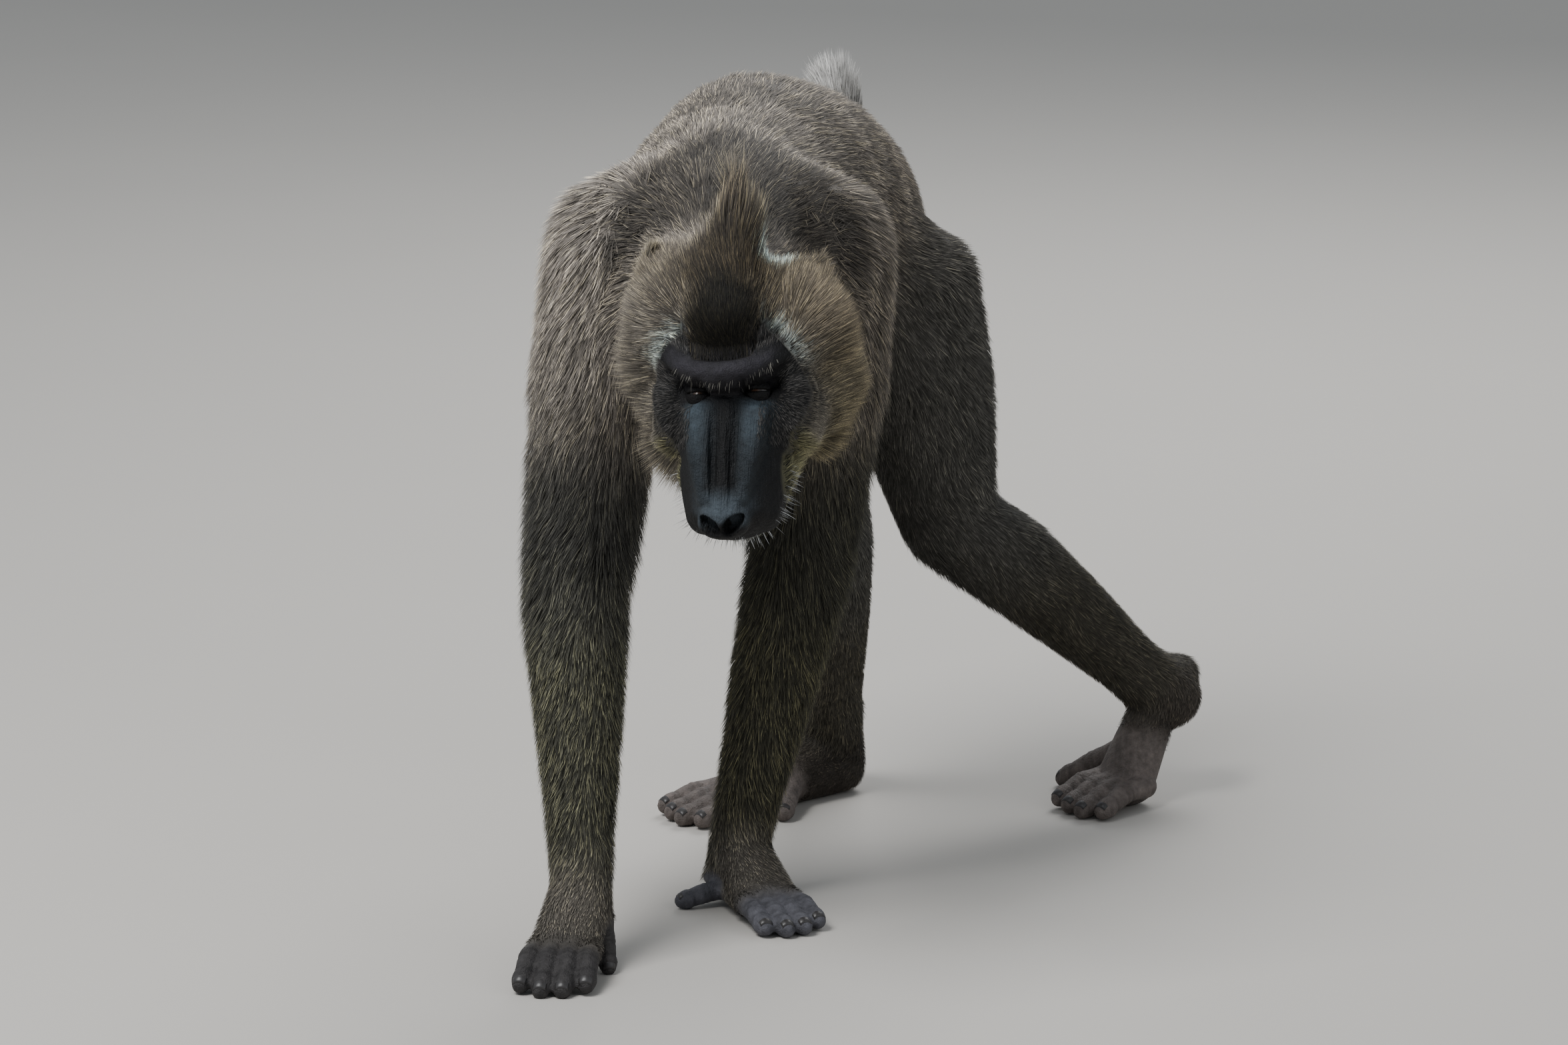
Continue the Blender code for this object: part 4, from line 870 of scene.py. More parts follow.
def body_zones() -> list[Zone]:
    """The zones of trunk, limbs and tail."""
    v, zones = Vector, []
    naked = {"depth": 0.0, "hair": 0.003, "width": 0.0008, "rise": 0.2, "density": 60e3, "pale": 0.2, "bare": 1.0}
    back, under = v((0.10, 0.80, -0.45)), v((0.05, 0.60, -0.60))
    mantle, brown, flank = tone(128, 121, 113), tone(118, 111, 103), tone(112, 103, 93)
    for start, end, radius, piece, tint, aim, hair in (
        ((-0.046, -0.03, 0.470), (-0.046, 0.07, 0.468), 0.085, "coat_mantle", mantle, back, 0.024),
        ((-0.046, 0.07, 0.460), (-0.040, 0.180, 0.460), 0.095, "coat_mantle", brown, back, 0.024),
        ((-0.040, 0.180, 0.462), (0.004, 0.295, 0.472), 0.090, "coat_back", brown, v((0.35, 0.75, -0.45)), 0.023),
        ((0.004, 0.295, 0.472), (0.056, 0.395, 0.425), 0.075, "coat_back", flank, v((0.45, 0.60, -0.55)), 0.022),
        ((-0.046, 0.02, 0.385), (-0.038, 0.22, 0.385), 0.060, "coat_mantle", flank, under, 0.020),
    ):
        zones.append(
            Zone(
                piece, v(start), v(end), radius=radius, depth=0.0065, hair=hair * 0.78, width=0.0011, rise=0.24,
                density=340e3, tint=tint, pale=0.75, aim=aim,
            )
        )
    grey, sole_skin = tone(95, 93, 88), tone(100, 92, 88)
    # The fur tints of the right arm are painted lighter and those of the left arm darker: painted light on the side
    # toward the key lamp, painted shade on the side away from it.
    arm_tints_with_painted_light = {
        Side.RIGHT: (tone(160, 152, 143), tone(78, 77, 73), tone(88, 87, 76), tone(56, 54, 54)),
        Side.LEFT: (tone(110, 103, 95), tone(60, 59, 52), tone(69, 67, 55), tone(84, 84, 90)),
    }
    for side in Side:
        shoulder_fur, upper_fur, lower_fur, palm_skin = arm_tints_with_painted_light[side]
        name = side.name.lower()
        shoulder, elbow, wrist = BONES.shoulder(side), BONES.elbow(side), BONES.wrist(side)
        knuckle, tip, _ = Arm(side).palm()
        piece, outward = f"coat_arm_{name}", v((side.value * 0.25, 0, 0))
        zones += [
            Zone(
                piece, shoulder + v((0, 0, 0.02)), along(shoulder, elbow, 0.3), radius=0.062, depth=0.0060, hair=0.021,
                width=0.0009, rise=0.30, density=420e3, tint=shoulder_fur, pale=0.7,
                aim=(elbow - shoulder).normalized() + outward,
            ),
            Zone(
                piece, along(shoulder, elbow, 0.35), elbow, radius=0.050, depth=0.0055, hair=0.022, width=0.0008,
                rise=0.42, density=480e3, tint=upper_fur, pale=0.7, aim=(elbow - shoulder).normalized() + outward,
            ),
            Zone(
                piece, elbow, along(elbow, wrist, 0.85), radius=0.038, depth=0.0045, hair=0.0135, width=0.00078,
                rise=0.36, density=620e3, tint=lower_fur, pale=0.95, aim=(wrist - elbow).normalized() + outward,
            ),
            Zone(
                piece, along(elbow, wrist, 0.92), along(wrist, knuckle, 0.80), radius=0.024, depth=0.0016, hair=0.0075,
                width=0.0008, rise=0.20, density=1000e3, tint=tone(120, 114, 105), pale=0.6,
                aim=(knuckle - wrist).normalized(),
            ),
            Zone(
                piece, along(knuckle, tip, 0.18), tip, radius=0.020, tint=palm_skin, aim=(tip - knuckle).normalized(),
                **naked
            ),
        ]
        hip, knee, ankle = BONES.hip(side), BONES.knee(side), BONES.ankle(side)
        heel, ball, toe, _ = Leg(side).sole()
        thumb, big = Arm(side).digits()[-1], Leg(side).digits()[-1]
        piece = f"coat_leg_{name}"
        zones += [
            Zone(
                f"coat_arm_{name}", along(thumb.root, thumb.tip, 0.35), thumb.tip, radius=0.012, tint=palm_skin, **naked
            ),
            Zone(
                piece, hip, along(hip, knee, 0.7), radius=0.062, depth=0.0058, hair=0.016, width=0.0010, rise=0.26,
                density=380e3, tint=grey, pale=0.5, aim=(knee - hip).normalized() + v((0.15, 0.5, -0.1)),
            ),
            Zone(
                piece, along(hip, knee, 0.85), along(knee, ankle, 0.2), radius=0.044, depth=0.0052, hair=0.013,
                width=0.0009, rise=0.25, density=420e3, tint=grey, pale=0.5,
                aim=(ankle - knee).normalized() + v((0, 0, -0.3)),
            ),
            Zone(
                piece, along(knee, ankle, 0.25), along(knee, ankle, 0.88), radius=0.036, depth=0.0045, hair=0.0105,
                width=0.0008, rise=0.24, density=520e3, tint=tone(82, 78, 68), pale=0.6,
                aim=(ankle - knee).normalized(),
            ),
            Zone(
                piece, ankle, along(heel, ball, 0.45), radius=0.024, depth=0.0012, hair=0.0065, width=0.0008, rise=0.18,
                density=1000e3, tint=tone(88, 81, 74), pale=0.5, bare=0.15, aim=(ball - heel).normalized(),
            ),
            Zone(
                piece, along(heel, ball, 0.75), toe, radius=0.026, tint=sole_skin, aim=(toe - ball).normalized(),
                **naked
            ),
            Zone(piece, big.root, big.tip, radius=0.013, tint=sole_skin, **naked),
        ]
    root, end = BONES.tail_root, BONES.tail_tip()
    zones.append(
        Zone(
            "coat_back", along(root, end, -0.3), along(root, end, 0.15), radius=0.026, depth=0.004, hair=0.018,
            width=0.0013, rise=0.30, density=420e3, tint=tone(130, 126, 120), pale=0.7, aim=BONES.tail_way,
        )
    )
    zones.append(
        Zone(
            "tail_tuft", along(root, end, 0.30), along(root, end, 0.75), radius=0.017, depth=0.002, hair=0.031,
            width=0.0010, rise=1.05, density=3400e3, tint=tone(236, 234, 230), pale=0.2, lie=Lie.AWAY,
            aim=along(root, end, 0.1),
        )
    )
    return zones


def head_zones() -> list[Zone]:
    """The zones of the head, its ruff, crest and beard."""
    skull, muzzle = HEAD.on_skull, HEAD.on_muzzle
    face, crest = HEAD.on_skull(0, -0.034, 0.040), HEAD.on_skull(0, 0.122, -0.232)
    beige, olive, crown = tone(118, 112, 102), tone(132, 129, 100), tone(46, 41, 33)
    made = [
        Zone(
            "coat_head", skull(0, -0.030, -0.130), skull(0, -0.040, -0.100), radius=0.060, depth=0.005, hair=0.018,
            width=0.0010, rise=0.26, density=900e3, tint=tone(108, 100, 91), pale=0.6, lie=Lie.AWAY, aim=face,
        ),
        Zone(
            "crest", skull(0, 0.036, -0.090), skull(0, 0.046, -0.106), radius=0.021, depth=0.002, hair=0.078,
            width=0.0010, rise=0.42, density=3600e3, tint=tone(104, 97, 82), pale=1.0, lie=Lie.TOWARD, aim=crest,
        ),
        Zone(
            "coat_brow", skull(0, 0.010, -0.046), skull(0, 0.028, -0.072), radius=0.030, depth=0.002, hair=0.018,
            width=0.0007, rise=0.80, density=2400e3, tint=crown, pale=1.0, lie=Lie.TOWARD, aim=skull(0, 0.090, -0.110),
        ),
        Zone(
            "coat_brow", skull(0, 0.004, -0.012), skull(0, 0.012, -0.032), radius=0.024, depth=0.001, hair=0.013,
            width=0.0006, rise=0.45, density=2600e3, tint=crown, pale=1.0, lie=Lie.TOWARD, aim=skull(0, 0.070, -0.100),
        ),
        Zone(
            "beard", muzzle(0, -0.045, 0.02), muzzle(0, -0.045, 0.085), radius=0.036, depth=0.0008, hair=0.010,
            width=0.0007, rise=0.30, density=1800e3, tint=olive, pale=0.6, lie=Lie.AWAY, aim=muzzle(0, -0.025, 0.110),
        ),
        Zone(
            "beard", muzzle(0, -0.082, 0.010), muzzle(0, -0.080, 0.055), radius=0.026, depth=0.0015, hair=0.022,
            width=0.0007, rise=0.42, density=1900e3, tint=olive, pale=0.7, lie=Lie.AWAY, aim=muzzle(0, -0.040, 0.095),
        ),
        Zone(
            "beard", muzzle(0, -0.080, 0.082), muzzle(0, -0.070, 0.100), radius=0.020, depth=0.0008, hair=0.006,
            width=0.0006, rise=0.35, density=2400e3, tint=tone(118, 120, 112), pale=0.5, lie=Lie.AWAY,
            aim=muzzle(0, -0.060, 0.060),
        ),
    ]
    for side in Side:
        out, name = side.value, side.name.lower()
        ear = skull(out * 0.063, 0.021, -0.095)
        if side is Side.LEFT:
            dense, upper, lower = 3300e3, tone(136, 125, 108), tone(114, 106, 86)
            plume = {"hair": 0.028, "width": 0.0006, "rise": 0.36}
        else:
            dense, upper, lower = 5000e3, beige, beige
            plume = {"hair": 0.038, "width": 0.0006, "rise": 0.66}
        made += [
            Zone(
                f"ruff_{name}", ear, ear + HEAD.up * 0.006, radius=0.013, depth=0.0003, hair=0.016, width=0.0006,
                rise=0.45, density=dense, tint=tone(140, 132, 116), pale=0.8, aim=HEAD.up,
            ),
            Zone(
                f"ruff_{name}", skull(out * 0.030, 0.018, -0.066), skull(out * 0.056, 0.014, -0.084), radius=0.024,
                depth=0.002, hair=0.022, width=0.0006, rise=0.36, density=dense, tint=tone(88, 80, 67), pale=0.9,
                lie=Lie.AWAY, aim=face,
            ),
            Zone(
                f"ruff_{name}", skull(out * 0.046, -0.006, -0.070), skull(out * 0.050, -0.042, -0.068), radius=0.034,
                depth=0.002, **plume, density=dense, tint=upper, pale=0.7, lie=Lie.AWAY, aim=face,
            ),
            Zone(
                f"ruff_{name}", skull(out * 0.050, -0.042, -0.066), skull(out * 0.040, -0.080, -0.050), radius=0.034,
                depth=0.002, **plume, density=dense, tint=lower, pale=0.7, lie=Lie.AWAY, aim=face,
            ),
            Zone(
                "coat_brow", muzzle(out * 0.040, -0.034, -0.030), muzzle(out * 0.052, -0.046, 0.018), radius=0.013,
                depth=0.001, hair=0.010, width=0.0006, rise=0.30, density=2400e3, tint=beige, pale=0.5, lie=Lie.AWAY,
                aim=muzzle(out * 0.012, -0.02, 0.006),
            ),
        ]
    return made


@dataclass
class Markings:
    """What the coat and skin look like at any place: the one source of both."""

    zones: list = field(default_factory=lambda: body_zones() + head_zones())
    sharpness: float = 2.6
    # Where the pale painted highlight bands lie across shoulders and back, and how strong each is.
    highlight_band_places: tuple = ((0.112, 0.9), (0.160, 0.5), (0.215, 0.45), (0.285, 0.35))
    creases: tuple = (0.45, 0.55, 0.80)

    def marks(self) -> list[Mark]:
        """The patches of the head."""
        skull, muzzle = HEAD.on_skull, HEAD.on_muzzle
        white = tone(176, 190, 188)
        return [
            Mark(skull(0, 0.026, -0.062), (0.031, 0.034, 0.024), tone(46, 40, 32), 0.8),
            Mark(skull(0.001, 0.018, -0.024), (0.0225, 0.050, 0.0265), tone(22, 20, 16)),
            Mark(skull(0.028, 0.030, -0.087), (0.010, 0.024, 0.019), white, 0.95),
            Mark(skull(0, 0.052, -0.092), (0.010, 0.040, 0.016), tone(60, 54, 48), 0.85),
            Mark(muzzle(0, -0.075, 0.092), (0.024, 0.020, 0.014), tone(150, 150, 146), 0.7),
        ]

    def lobes(self, points: np.ndarray) -> np.ndarray:
        """How far out on a cheek lobe of the bare face each point is: 1 on its rim."""
        left, _, down = HEAD.coordinates(points).T
        narrowed = 0.32 * np.clip(0.004 - down, 0, 0.03) * (left > 0)
        return np.hypot((np.abs(left) - 0.028) / (0.0285 - narrowed), (down - 0.004) / 0.0355)

    def weights(self, points: np.ndarray) -> np.ndarray:
        """How much each zone counts at each point."""
        near = [np.exp(-self.sharpness * np.minimum(zone.distance(points), 6) ** 2) for zone in self.zones]
        near = np.stack(near, axis=1) + 1e-12
        return near / near.sum(axis=1, keepdims=True)

    def mixed(self, weights: np.ndarray, name: str) -> np.ndarray:
        """A named size or tint of the zones, mixed by their weights."""
        return weights @ np.array([getattr(zone, name) for zone in self.zones], float)

    def ways(self, points: np.ndarray, weights: np.ndarray) -> np.ndarray:
        """The way that the hair lies at each point."""
        total = np.zeros_like(points)
        for index, zone in enumerate(self.zones):
            total += zone.way(points) * weights[:, index : index + 1]
        return unit(total)

    def mask(self, points: np.ndarray) -> np.ndarray:
        """1 on the bare black face, 0 off it."""
        left, out, down = HEAD.coordinates(points).T
        wide = np.abs(left)
        lobe = rise_between(-self.lobes(points), -1.03, -0.95) * rise_between(out, -0.075, -0.062)
        bridge = rise_between(-wide, -0.034, -0.028) * rise_between(out, -0.06, -0.05)
        top = rise_between(down + 0.0068 + 11 * left**2 + 0.024 * rise_between(wide, 0.020, 0.030), -0.0025, 0.0015)
        snout = rise_between(down, 0.010, 0.020) * rise_between(out, MOUTH_OUT - 0.0035, MOUTH_OUT + 0.0005)
        snout *= rise_between(0.0490 - 0.42 * np.clip(down - 0.018, 0, 0.03) - wide, -0.0015, 0.0015)
        away = np.linalg.norm(HEAD.coordinates(points) - np.array((0, -0.045, 0.04)), axis=1)
        return np.maximum(np.maximum(lobe, bridge) * top, snout) * rise_between(-away, -0.11, -0.10)

    def nostril(self, points: np.ndarray, side: Side) -> tuple[np.ndarray, Vector]:
        """How far each point is from a nostril's middle, 1 at its rim, and the way that it opens.

        Args:
            points: The places.
            side: The nostril's side.

        Returns:
            The distances, large away from the nose, and the way.
        """
        way = (HEAD.out * 0.72 + HEAD.down * 0.69).normalized()
        inner = HEAD.on_muzzle(side.value * 0.0082, NOSE[1], NOSE[2] - 0.004)
        rim = np.array(inner + way * 0.0150 + HEAD.down * 0.0015)
        local = (points - rim) @ np.array([HEAD.left * side.value, way.cross(HEAD.left), way]).T
        local[:, 1] -= 0.40 * local[:, 0]
        edge = np.hypot(local[:, 0] / 0.0084, local[:, 1] / (0.0066 - 0.18 * local[:, 0]))
        return np.where(np.abs(local[:, 2]) < 0.012, edge, 9.0), way

    def bare(self, points: np.ndarray, weights: np.ndarray) -> np.ndarray:
        """How bare each point is, from 0 in the coat to 1 on naked skin."""
        pads = np.zeros(len(points))
        for side in Side:
            away = Trunk().seat_pad(side).away(points, (0.021, 0.019, 0.016))
            pads = np.maximum(pads, rise_between(-away, -1.1, -0.95))
        return np.clip(np.maximum(np.maximum(self.mixed(weights, "bare"), self.mask(points)), pads), 0, 1)

    def knuckles(self, points: np.ndarray) -> np.ndarray:
        """How deep in the creases over a finger's or toe's joints each point is, from 0 to 1."""
        depth = np.zeros(len(points))
        for digit in [digit for side in Side for limb in (Arm(side), Leg(side)) for digit in limb.digits()]:
            root, run = np.array(digit.root), np.array(digit.tip - digit.root)
            share = (points - root) @ run / (run @ run)
            away = np.linalg.norm(points - root - share[:, None] * run, axis=1) / digit.radius
            creases = sum(hump(share - place, 0.030) for place in self.creases)
            depth = np.maximum(depth, creases * rise_between(-away, -2.4, -1.4))
        return np.clip(depth, 0, 1)

    def painted_light_bands(self, points: np.ndarray) -> np.ndarray:
        """How light each point is painted: pale painted highlight bands, where hair tips catch the light, cross
        shoulders and back, and painted shadow darkens the neck before them.
        """
        across = points[:, 0] - BONES.chest_x
        # The arc rises faster on the right side, so the painted neck shadow reaches wider on the left side, away from
        # the key lamp.
        arc = points[:, 1] + np.where(across > 0, 8.0, 15.0) * across**2 * rise_between(-points[:, 1], -0.20, -0.08)
        arc += 0.006 * ripple(points, 0.08, 8)
        # Painted highlight: pale bands where the hair tips catch the light.
        pale = sum(strength * hump(arc - place, 0.009) for place, strength in self.highlight_band_places)
        high = rise_between(points[:, 2], 0.40, 0.47)
        # Painted shadow in the neck right behind the head.
        head = rise_between(-HEAD.coordinates(points)[:, 2], 0.105, 0.130)
        return 1 + high * (pale - 0.62 * head * rise_between(-arc, -0.115, -0.075))

    def face(self, points: np.ndarray) -> np.ndarray:
        """The colour of the bare face: black skin with blue-grey painted sheen on the plates and nose, a plum painted
        sheen on the brow ridge, and painted shade in the sockets and nostrils.
        """
        left, out, down = HEAD.coordinates(points).T
        face = np.tile(np.array(tone(15, 15, 16)), (len(points), 1))
        for side in Side:
            # Blue-grey painted sheen on each nasal plate, strongest at its top, where the light catches it.
            middle = side.value * (0.0215 - 0.10 * np.clip(down - 0.02, 0, 0.08))
            plate = (
                hump(left - middle, 0.0098 - 0.05 * np.clip(down - 0.02, 0, 0.06))
                * rise_between(down, 0.011, 0.016)
                * rise_between(-down, -0.098, -0.070)
            )
            plate *= rise_between(out, -0.040, -0.028) * (0.35 + 0.65 * rise_between(-down, -0.062, -0.026))
            tint_toward(face, tone(65, 76, 84), 0.8 * plate)
        # Blue-grey painted sheen on the nose.
        nose = (
            hump(left, 0.020)
            * rise_between(down, 0.074, 0.090)
            * rise_between(-down, -0.106, -0.099)
            * rise_between(out, -0.036, -0.024)
        )
        # Plum painted sheen along the brow ridge.
        ridge = rise_between(-np.abs(left + 0.004), -0.046, -0.030) * hump(down - 0.0005 + 11.5 * left**2, 0.0082)
        tint_toward(face, tone(74, 84, 92), 0.75 * nose)
        tint_toward(face, tone(45, 43, 49), 0.85 * ridge)
        face *= (1 + 0.16 * ripple(points, 0.0040, 21) + 0.12 * ripple(points, 0.0085, 22))[:, None]
        for side in Side:
            # Painted shade in the socket under the brow ridge, and in the sunk nostril.
            socket = np.hypot((left - side.value * 0.0215) / 0.012, (down - 0.006) / 0.0052)
            face *= (1 - 0.8 * rise_between(-socket, -1.3, -0.7) * rise_between(-out, 0.004, 0.010))[:, None]
            face *= (1 - 0.95 * rise_between(-self.nostril(points, side)[0], -1.0, -0.8))[:, None]
        return face

    def colours(self, points: np.ndarray, weights: np.ndarray) -> np.ndarray:
        """The colour of the coat or skin at each point."""
        tints = self.mixed(weights, "tint")
        left, out, down = HEAD.coordinates(points).T
        for mark in self.marks():
            tint_toward(tints, mark.tint, mark.share(points))
        blotch = 1 + 0.10 * ripple(points, 0.09, 3) + 0.08 * ripple(points, 0.025, 4)
        paw = rise_between(self.mixed(weights, "bare"), 0.5, 0.9)
        blotch += paw * (0.16 * ripple(points, 0.007, 31) + 0.12 * ripple(points, 0.003, 32))
        # Random blotches of tone, times the painted highlight bands and the painted neck shadow.
        tints *= (blotch * self.painted_light_bands(points))[:, None]
        rim = (
            hump(self.lobes(points) - 1.10, 0.11)
            * rise_between(-down, 0.008, 0.022)
            * rise_between(np.abs(left), 0.024, 0.030)
        )
        tint_toward(tints, tone(172, 182, 178), 0.85 * rim * rise_between(out, -0.045, -0.030))
        tints += (self.face(points) - tints) * self.mask(points)[:, None]
        for side in Side:
            away = Trunk().seat_pad(side).away(points, (0.022, 0.020, 0.018))
            tint_toward(tints, tone(152, 104, 118), rise_between(-away, -1.15, -0.9))
        return np.clip(tints, 0.0, 1.0)


MARKINGS = Markings()


@dataclass(frozen=True)
class CoatFinish:
    """Grizzled hair: dark roots, banded pale tips and fine streaks along each tuft."""

    name: str
    roughness: float = 0.72
    root_shade: float = 0.36
    tip_light: float = 1.75

    def material(self) -> bpy.types.Material:
        """The finish as a node material.

        Returns:
            A material that reads the tuft's own strand and marking attributes.
        """
        net = Net(self.name)
        marking, strand = net.attribute("marking"), net.attribute("strand")
        parts = net.node("ShaderNodeSeparateXYZ", {0: strand.outputs["Vector"]})
        length, across, chance = parts.outputs
        stretch = ((length, 1.6), (across, 2.6), (chance, 90.0))
        scaled = {index: net.maths("MULTIPLY", *pair) for index, pair in enumerate(stretch)}
        streaks = net.node("ShaderNodeCombineXYZ", scaled)
        fine = net.node(
            "ShaderNodeTexNoise", {"Vector": streaks.outputs[0], "Scale": 2.0, "Detail": 2.0, "Roughness": 0.6}
        )
        tip = self.tip_light
        band = net.ramp(length, ((0.0, self.root_shade), (0.35, 0.72), (0.66, 1.0), (0.84, tip), (1.0, tip * 0.8)))
        lift = net.maths("MULTIPLY_ADD", fine.outputs["Fac"], 1.1, 0.42)
        speckle = net.ramp(chance, ((0.0, 0.34), (0.45, 0.66), (0.70, 1.05), (0.84, 2.1), (1.0, 3.4)))
        shade = net.maths("MULTIPLY", net.maths("MULTIPLY", band, lift), speckle)
        colour = net.node("ShaderNodeVectorMath", {0: marking.outputs["Color"]}, operation="SCALE")
        net.link(shade, colour.inputs["Scale"])
        shader = net.shader(self.roughness)
        net.link(colour.outputs["Vector"], shader.inputs["Base Color"])
        shader.inputs["Specular IOR Level"].default_value = 0.25
        return net.material


@dataclass(frozen=True)
class SkinFinish:
    """Leathery skin: pores, fine folds and a dull sheen, with the coat's own markings under the hair."""

    name: str = "drill_skin"
    roughness: float = 0.5

    def material(self) -> bpy.types.Material:
        """The finish as a node material.

        Returns:
            A material that reads the skin's marking attribute and Object coordinates.
        """
        net = Net(self.name)
        marking, bare = net.attribute("marking"), net.attribute("bare")
        place = net.node("ShaderNodeTexCoord").outputs["Object"]
        mottle = net.node("ShaderNodeTexNoise", {"Vector": place, "Scale": 160.0, "Detail": 6.0, "Roughness": 0.65})
        shade = net.ramp(mottle.outputs["Fac"], ((0.3, 0.72), (0.7, 1.25)))
        under = net.maths("MULTIPLY_ADD", bare.outputs["Fac"], 0.55, 0.45)
        colour = net.node("ShaderNodeVectorMath", {0: marking.outputs["Color"]}, operation="SCALE")
        net.link(net.maths("MULTIPLY", shade, under), colour.inputs["Scale"])
        pores = net.node("ShaderNodeTexVoronoi", {"Vector": place, "Scale": 900.0})
        folds = net.node("ShaderNodeTexNoise", {"Vector": place, "Scale": 330.0, "Detail": 5.0, "Roughness": 0.6})
        height = net.maths("MULTIPLY_ADD", pores.outputs["Distance"], 0.35, folds.outputs["Fac"])
        height = net.maths("MULTIPLY_ADD", mottle.outputs["Fac"], 1.6, height)
        measures = [
            net.node("ShaderNodeVectorMath", {0: place, 1: tuple(way)}, operation="DOT_PRODUCT").outputs["Value"]
            for way in (HEAD.left, HEAD.down)
        ]
        scaled = {index: net.maths("MULTIPLY", *pair) for index, pair in enumerate(zip(measures, (620.0, 45.0)))}
        lengthwise = net.node("ShaderNodeCombineXYZ", scaled).outputs[0]
        lines = net.node("ShaderNodeTexNoise", {"Vector": lengthwise, "Scale": 1.0, "Detail": 3.0, "Roughness": 0.6})
        grooves = net.maths("MULTIPLY", lines.outputs["Fac"], net.attribute("snout").outputs["Fac"])
        height = net.maths("MULTIPLY_ADD", grooves, 2.2, height)
        bump = net.node("ShaderNodeBump", {"Height": height, "Distance": 0.0011, "Strength": 0.9})
        shader = net.shader(self.roughness)
        shader.inputs["Specular IOR Level"].default_value = 0.24
        net.link(colour.outputs["Vector"], shader.inputs["Base Color"])
        net.link(net.ramp(mottle.outputs["Fac"], ((0.2, 0.48), (0.8, 0.72))), shader.inputs["Roughness"])
        net.link(bump.outputs["Normal"], shader.inputs["Normal"])
        return net.material


@dataclass(frozen=True)
class PlainFinish:
    """A small part's finish: one colour, broken by fine noise, with its own roughness."""

    name: str
    colour: tuple
    roughness: float
    grain: float = 400.0
    spread: float = 0.25
    coat: float = 0.0

    def material(self) -> bpy.types.Material:
        """The finish as a node material.

        Returns:
            A material on Object coordinates.
        """
        net = Net(self.name)
        place = net.node("ShaderNodeTexCoord").outputs["Object"]
        noise = net.node("ShaderNodeTexNoise", {"Vector": place, "Scale": self.grain, "Detail": 4.0})
        ramp = net.node("ShaderNodeValToRGB", {"Fac": noise.outputs["Fac"]})
        for element, share in zip(ramp.color_ramp.elements, (1 - self.spread, 1 + self.spread)):
            element.color = (*(min(1.0, value * share) for value in self.colour), 1.0)
        shader = net.shader(self.roughness)
        net.link(ramp.outputs["Color"], shader.inputs["Base Color"])
        shader.inputs["Coat Weight"].default_value = self.coat
        shader.inputs["Coat Roughness"].default_value = 0.06
        return net.material


class Net:
    """A material's node net, built by name."""

    def __init__(self, name: str) -> None:
        """Starts an empty material of that name."""
        self.material = bpy.data.materials.new(name)
        self.material.use_nodes = True
        self.tree = self.material.node_tree

    def node(self, kind: str, inputs: dict | None = None, **options: object) -> bpy.types.Node:
        """A new node.

        Args:
            kind: The node's type.
            inputs: Values or outputs for its sockets, by name or place.
            options: Settings of the node.

        Returns:
            The node.
        """
        made = self.tree.nodes.new(kind)
        for name, value in options.items():
            setattr(made, name, value)
        for name, value in (inputs or {}).items():
            if isinstance(value, bpy.types.NodeSocket):
                self.link(value, made.inputs[name])
            else:
                made.inputs[name].default_value = value
        return made

    def link(self, output: bpy.types.NodeSocket, socket: bpy.types.NodeSocket) -> None:
        """Joins an output to a socket."""
        self.tree.links.new(output, socket)

    def attribute(self, name: str) -> bpy.types.Node:
        """A node that reads a mesh attribute."""
        return self.node("ShaderNodeAttribute", attribute_name=name)

    def maths(self, operation: str, *values: object) -> bpy.types.NodeSocket:
        """The result of a sum on values or outputs."""
        return self.node("ShaderNodeMath", dict(enumerate(values)), operation=operation).outputs[0]

    def ramp(self, factor: bpy.types.NodeSocket, stops: tuple) -> bpy.types.NodeSocket:
        """A number that runs through stops as a factor goes from 0 to 1.

        Args:
            factor: What drives it.
            stops: Pairs of place and value.

        Returns:
            The output that holds the number.
        """
        made = self.node("ShaderNodeFloatCurve", {"Value": factor})
        curve, top = made.mapping.curves[0], max(value for _, value in stops)
        while len(curve.points) < len(stops):
            curve.points.new(0.5, 0.5)
        for point, (place, value) in zip(curve.points, stops):
            point.location = (place, value / top)
        made.mapping.update()
        return self.maths("MULTIPLY", made.outputs["Value"], top)

    def shader(self, roughness: float) -> bpy.types.Node:
        """The material's own shader, with its roughness set."""
        shader = self.tree.nodes["Principled BSDF"]
        shader.inputs["Roughness"].default_value = roughness
        return shader


def place_piece(obj: bpy.types.Object, slot: str, material: bpy.types.Material) -> bpy.types.Object:
    """Moves a finished piece to the frame's middle, dresses it and lets it ride.

    Args:
        obj: The piece, still where the animal was measured.
        slot: The record's material slot; it is not used.
        material: Its finish.

    Returns:
        The piece.
    """
    obj.data.transform(Matrix.Translation(-BOX_MIDDLE))
    obj.data.materials.clear()
    obj.data.materials.append(material)
    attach(obj, "root")
    LOG.info("%s: %d triangles", obj.name, len(obj.data.loop_triangles) or len(obj.data.polygons))
    return obj


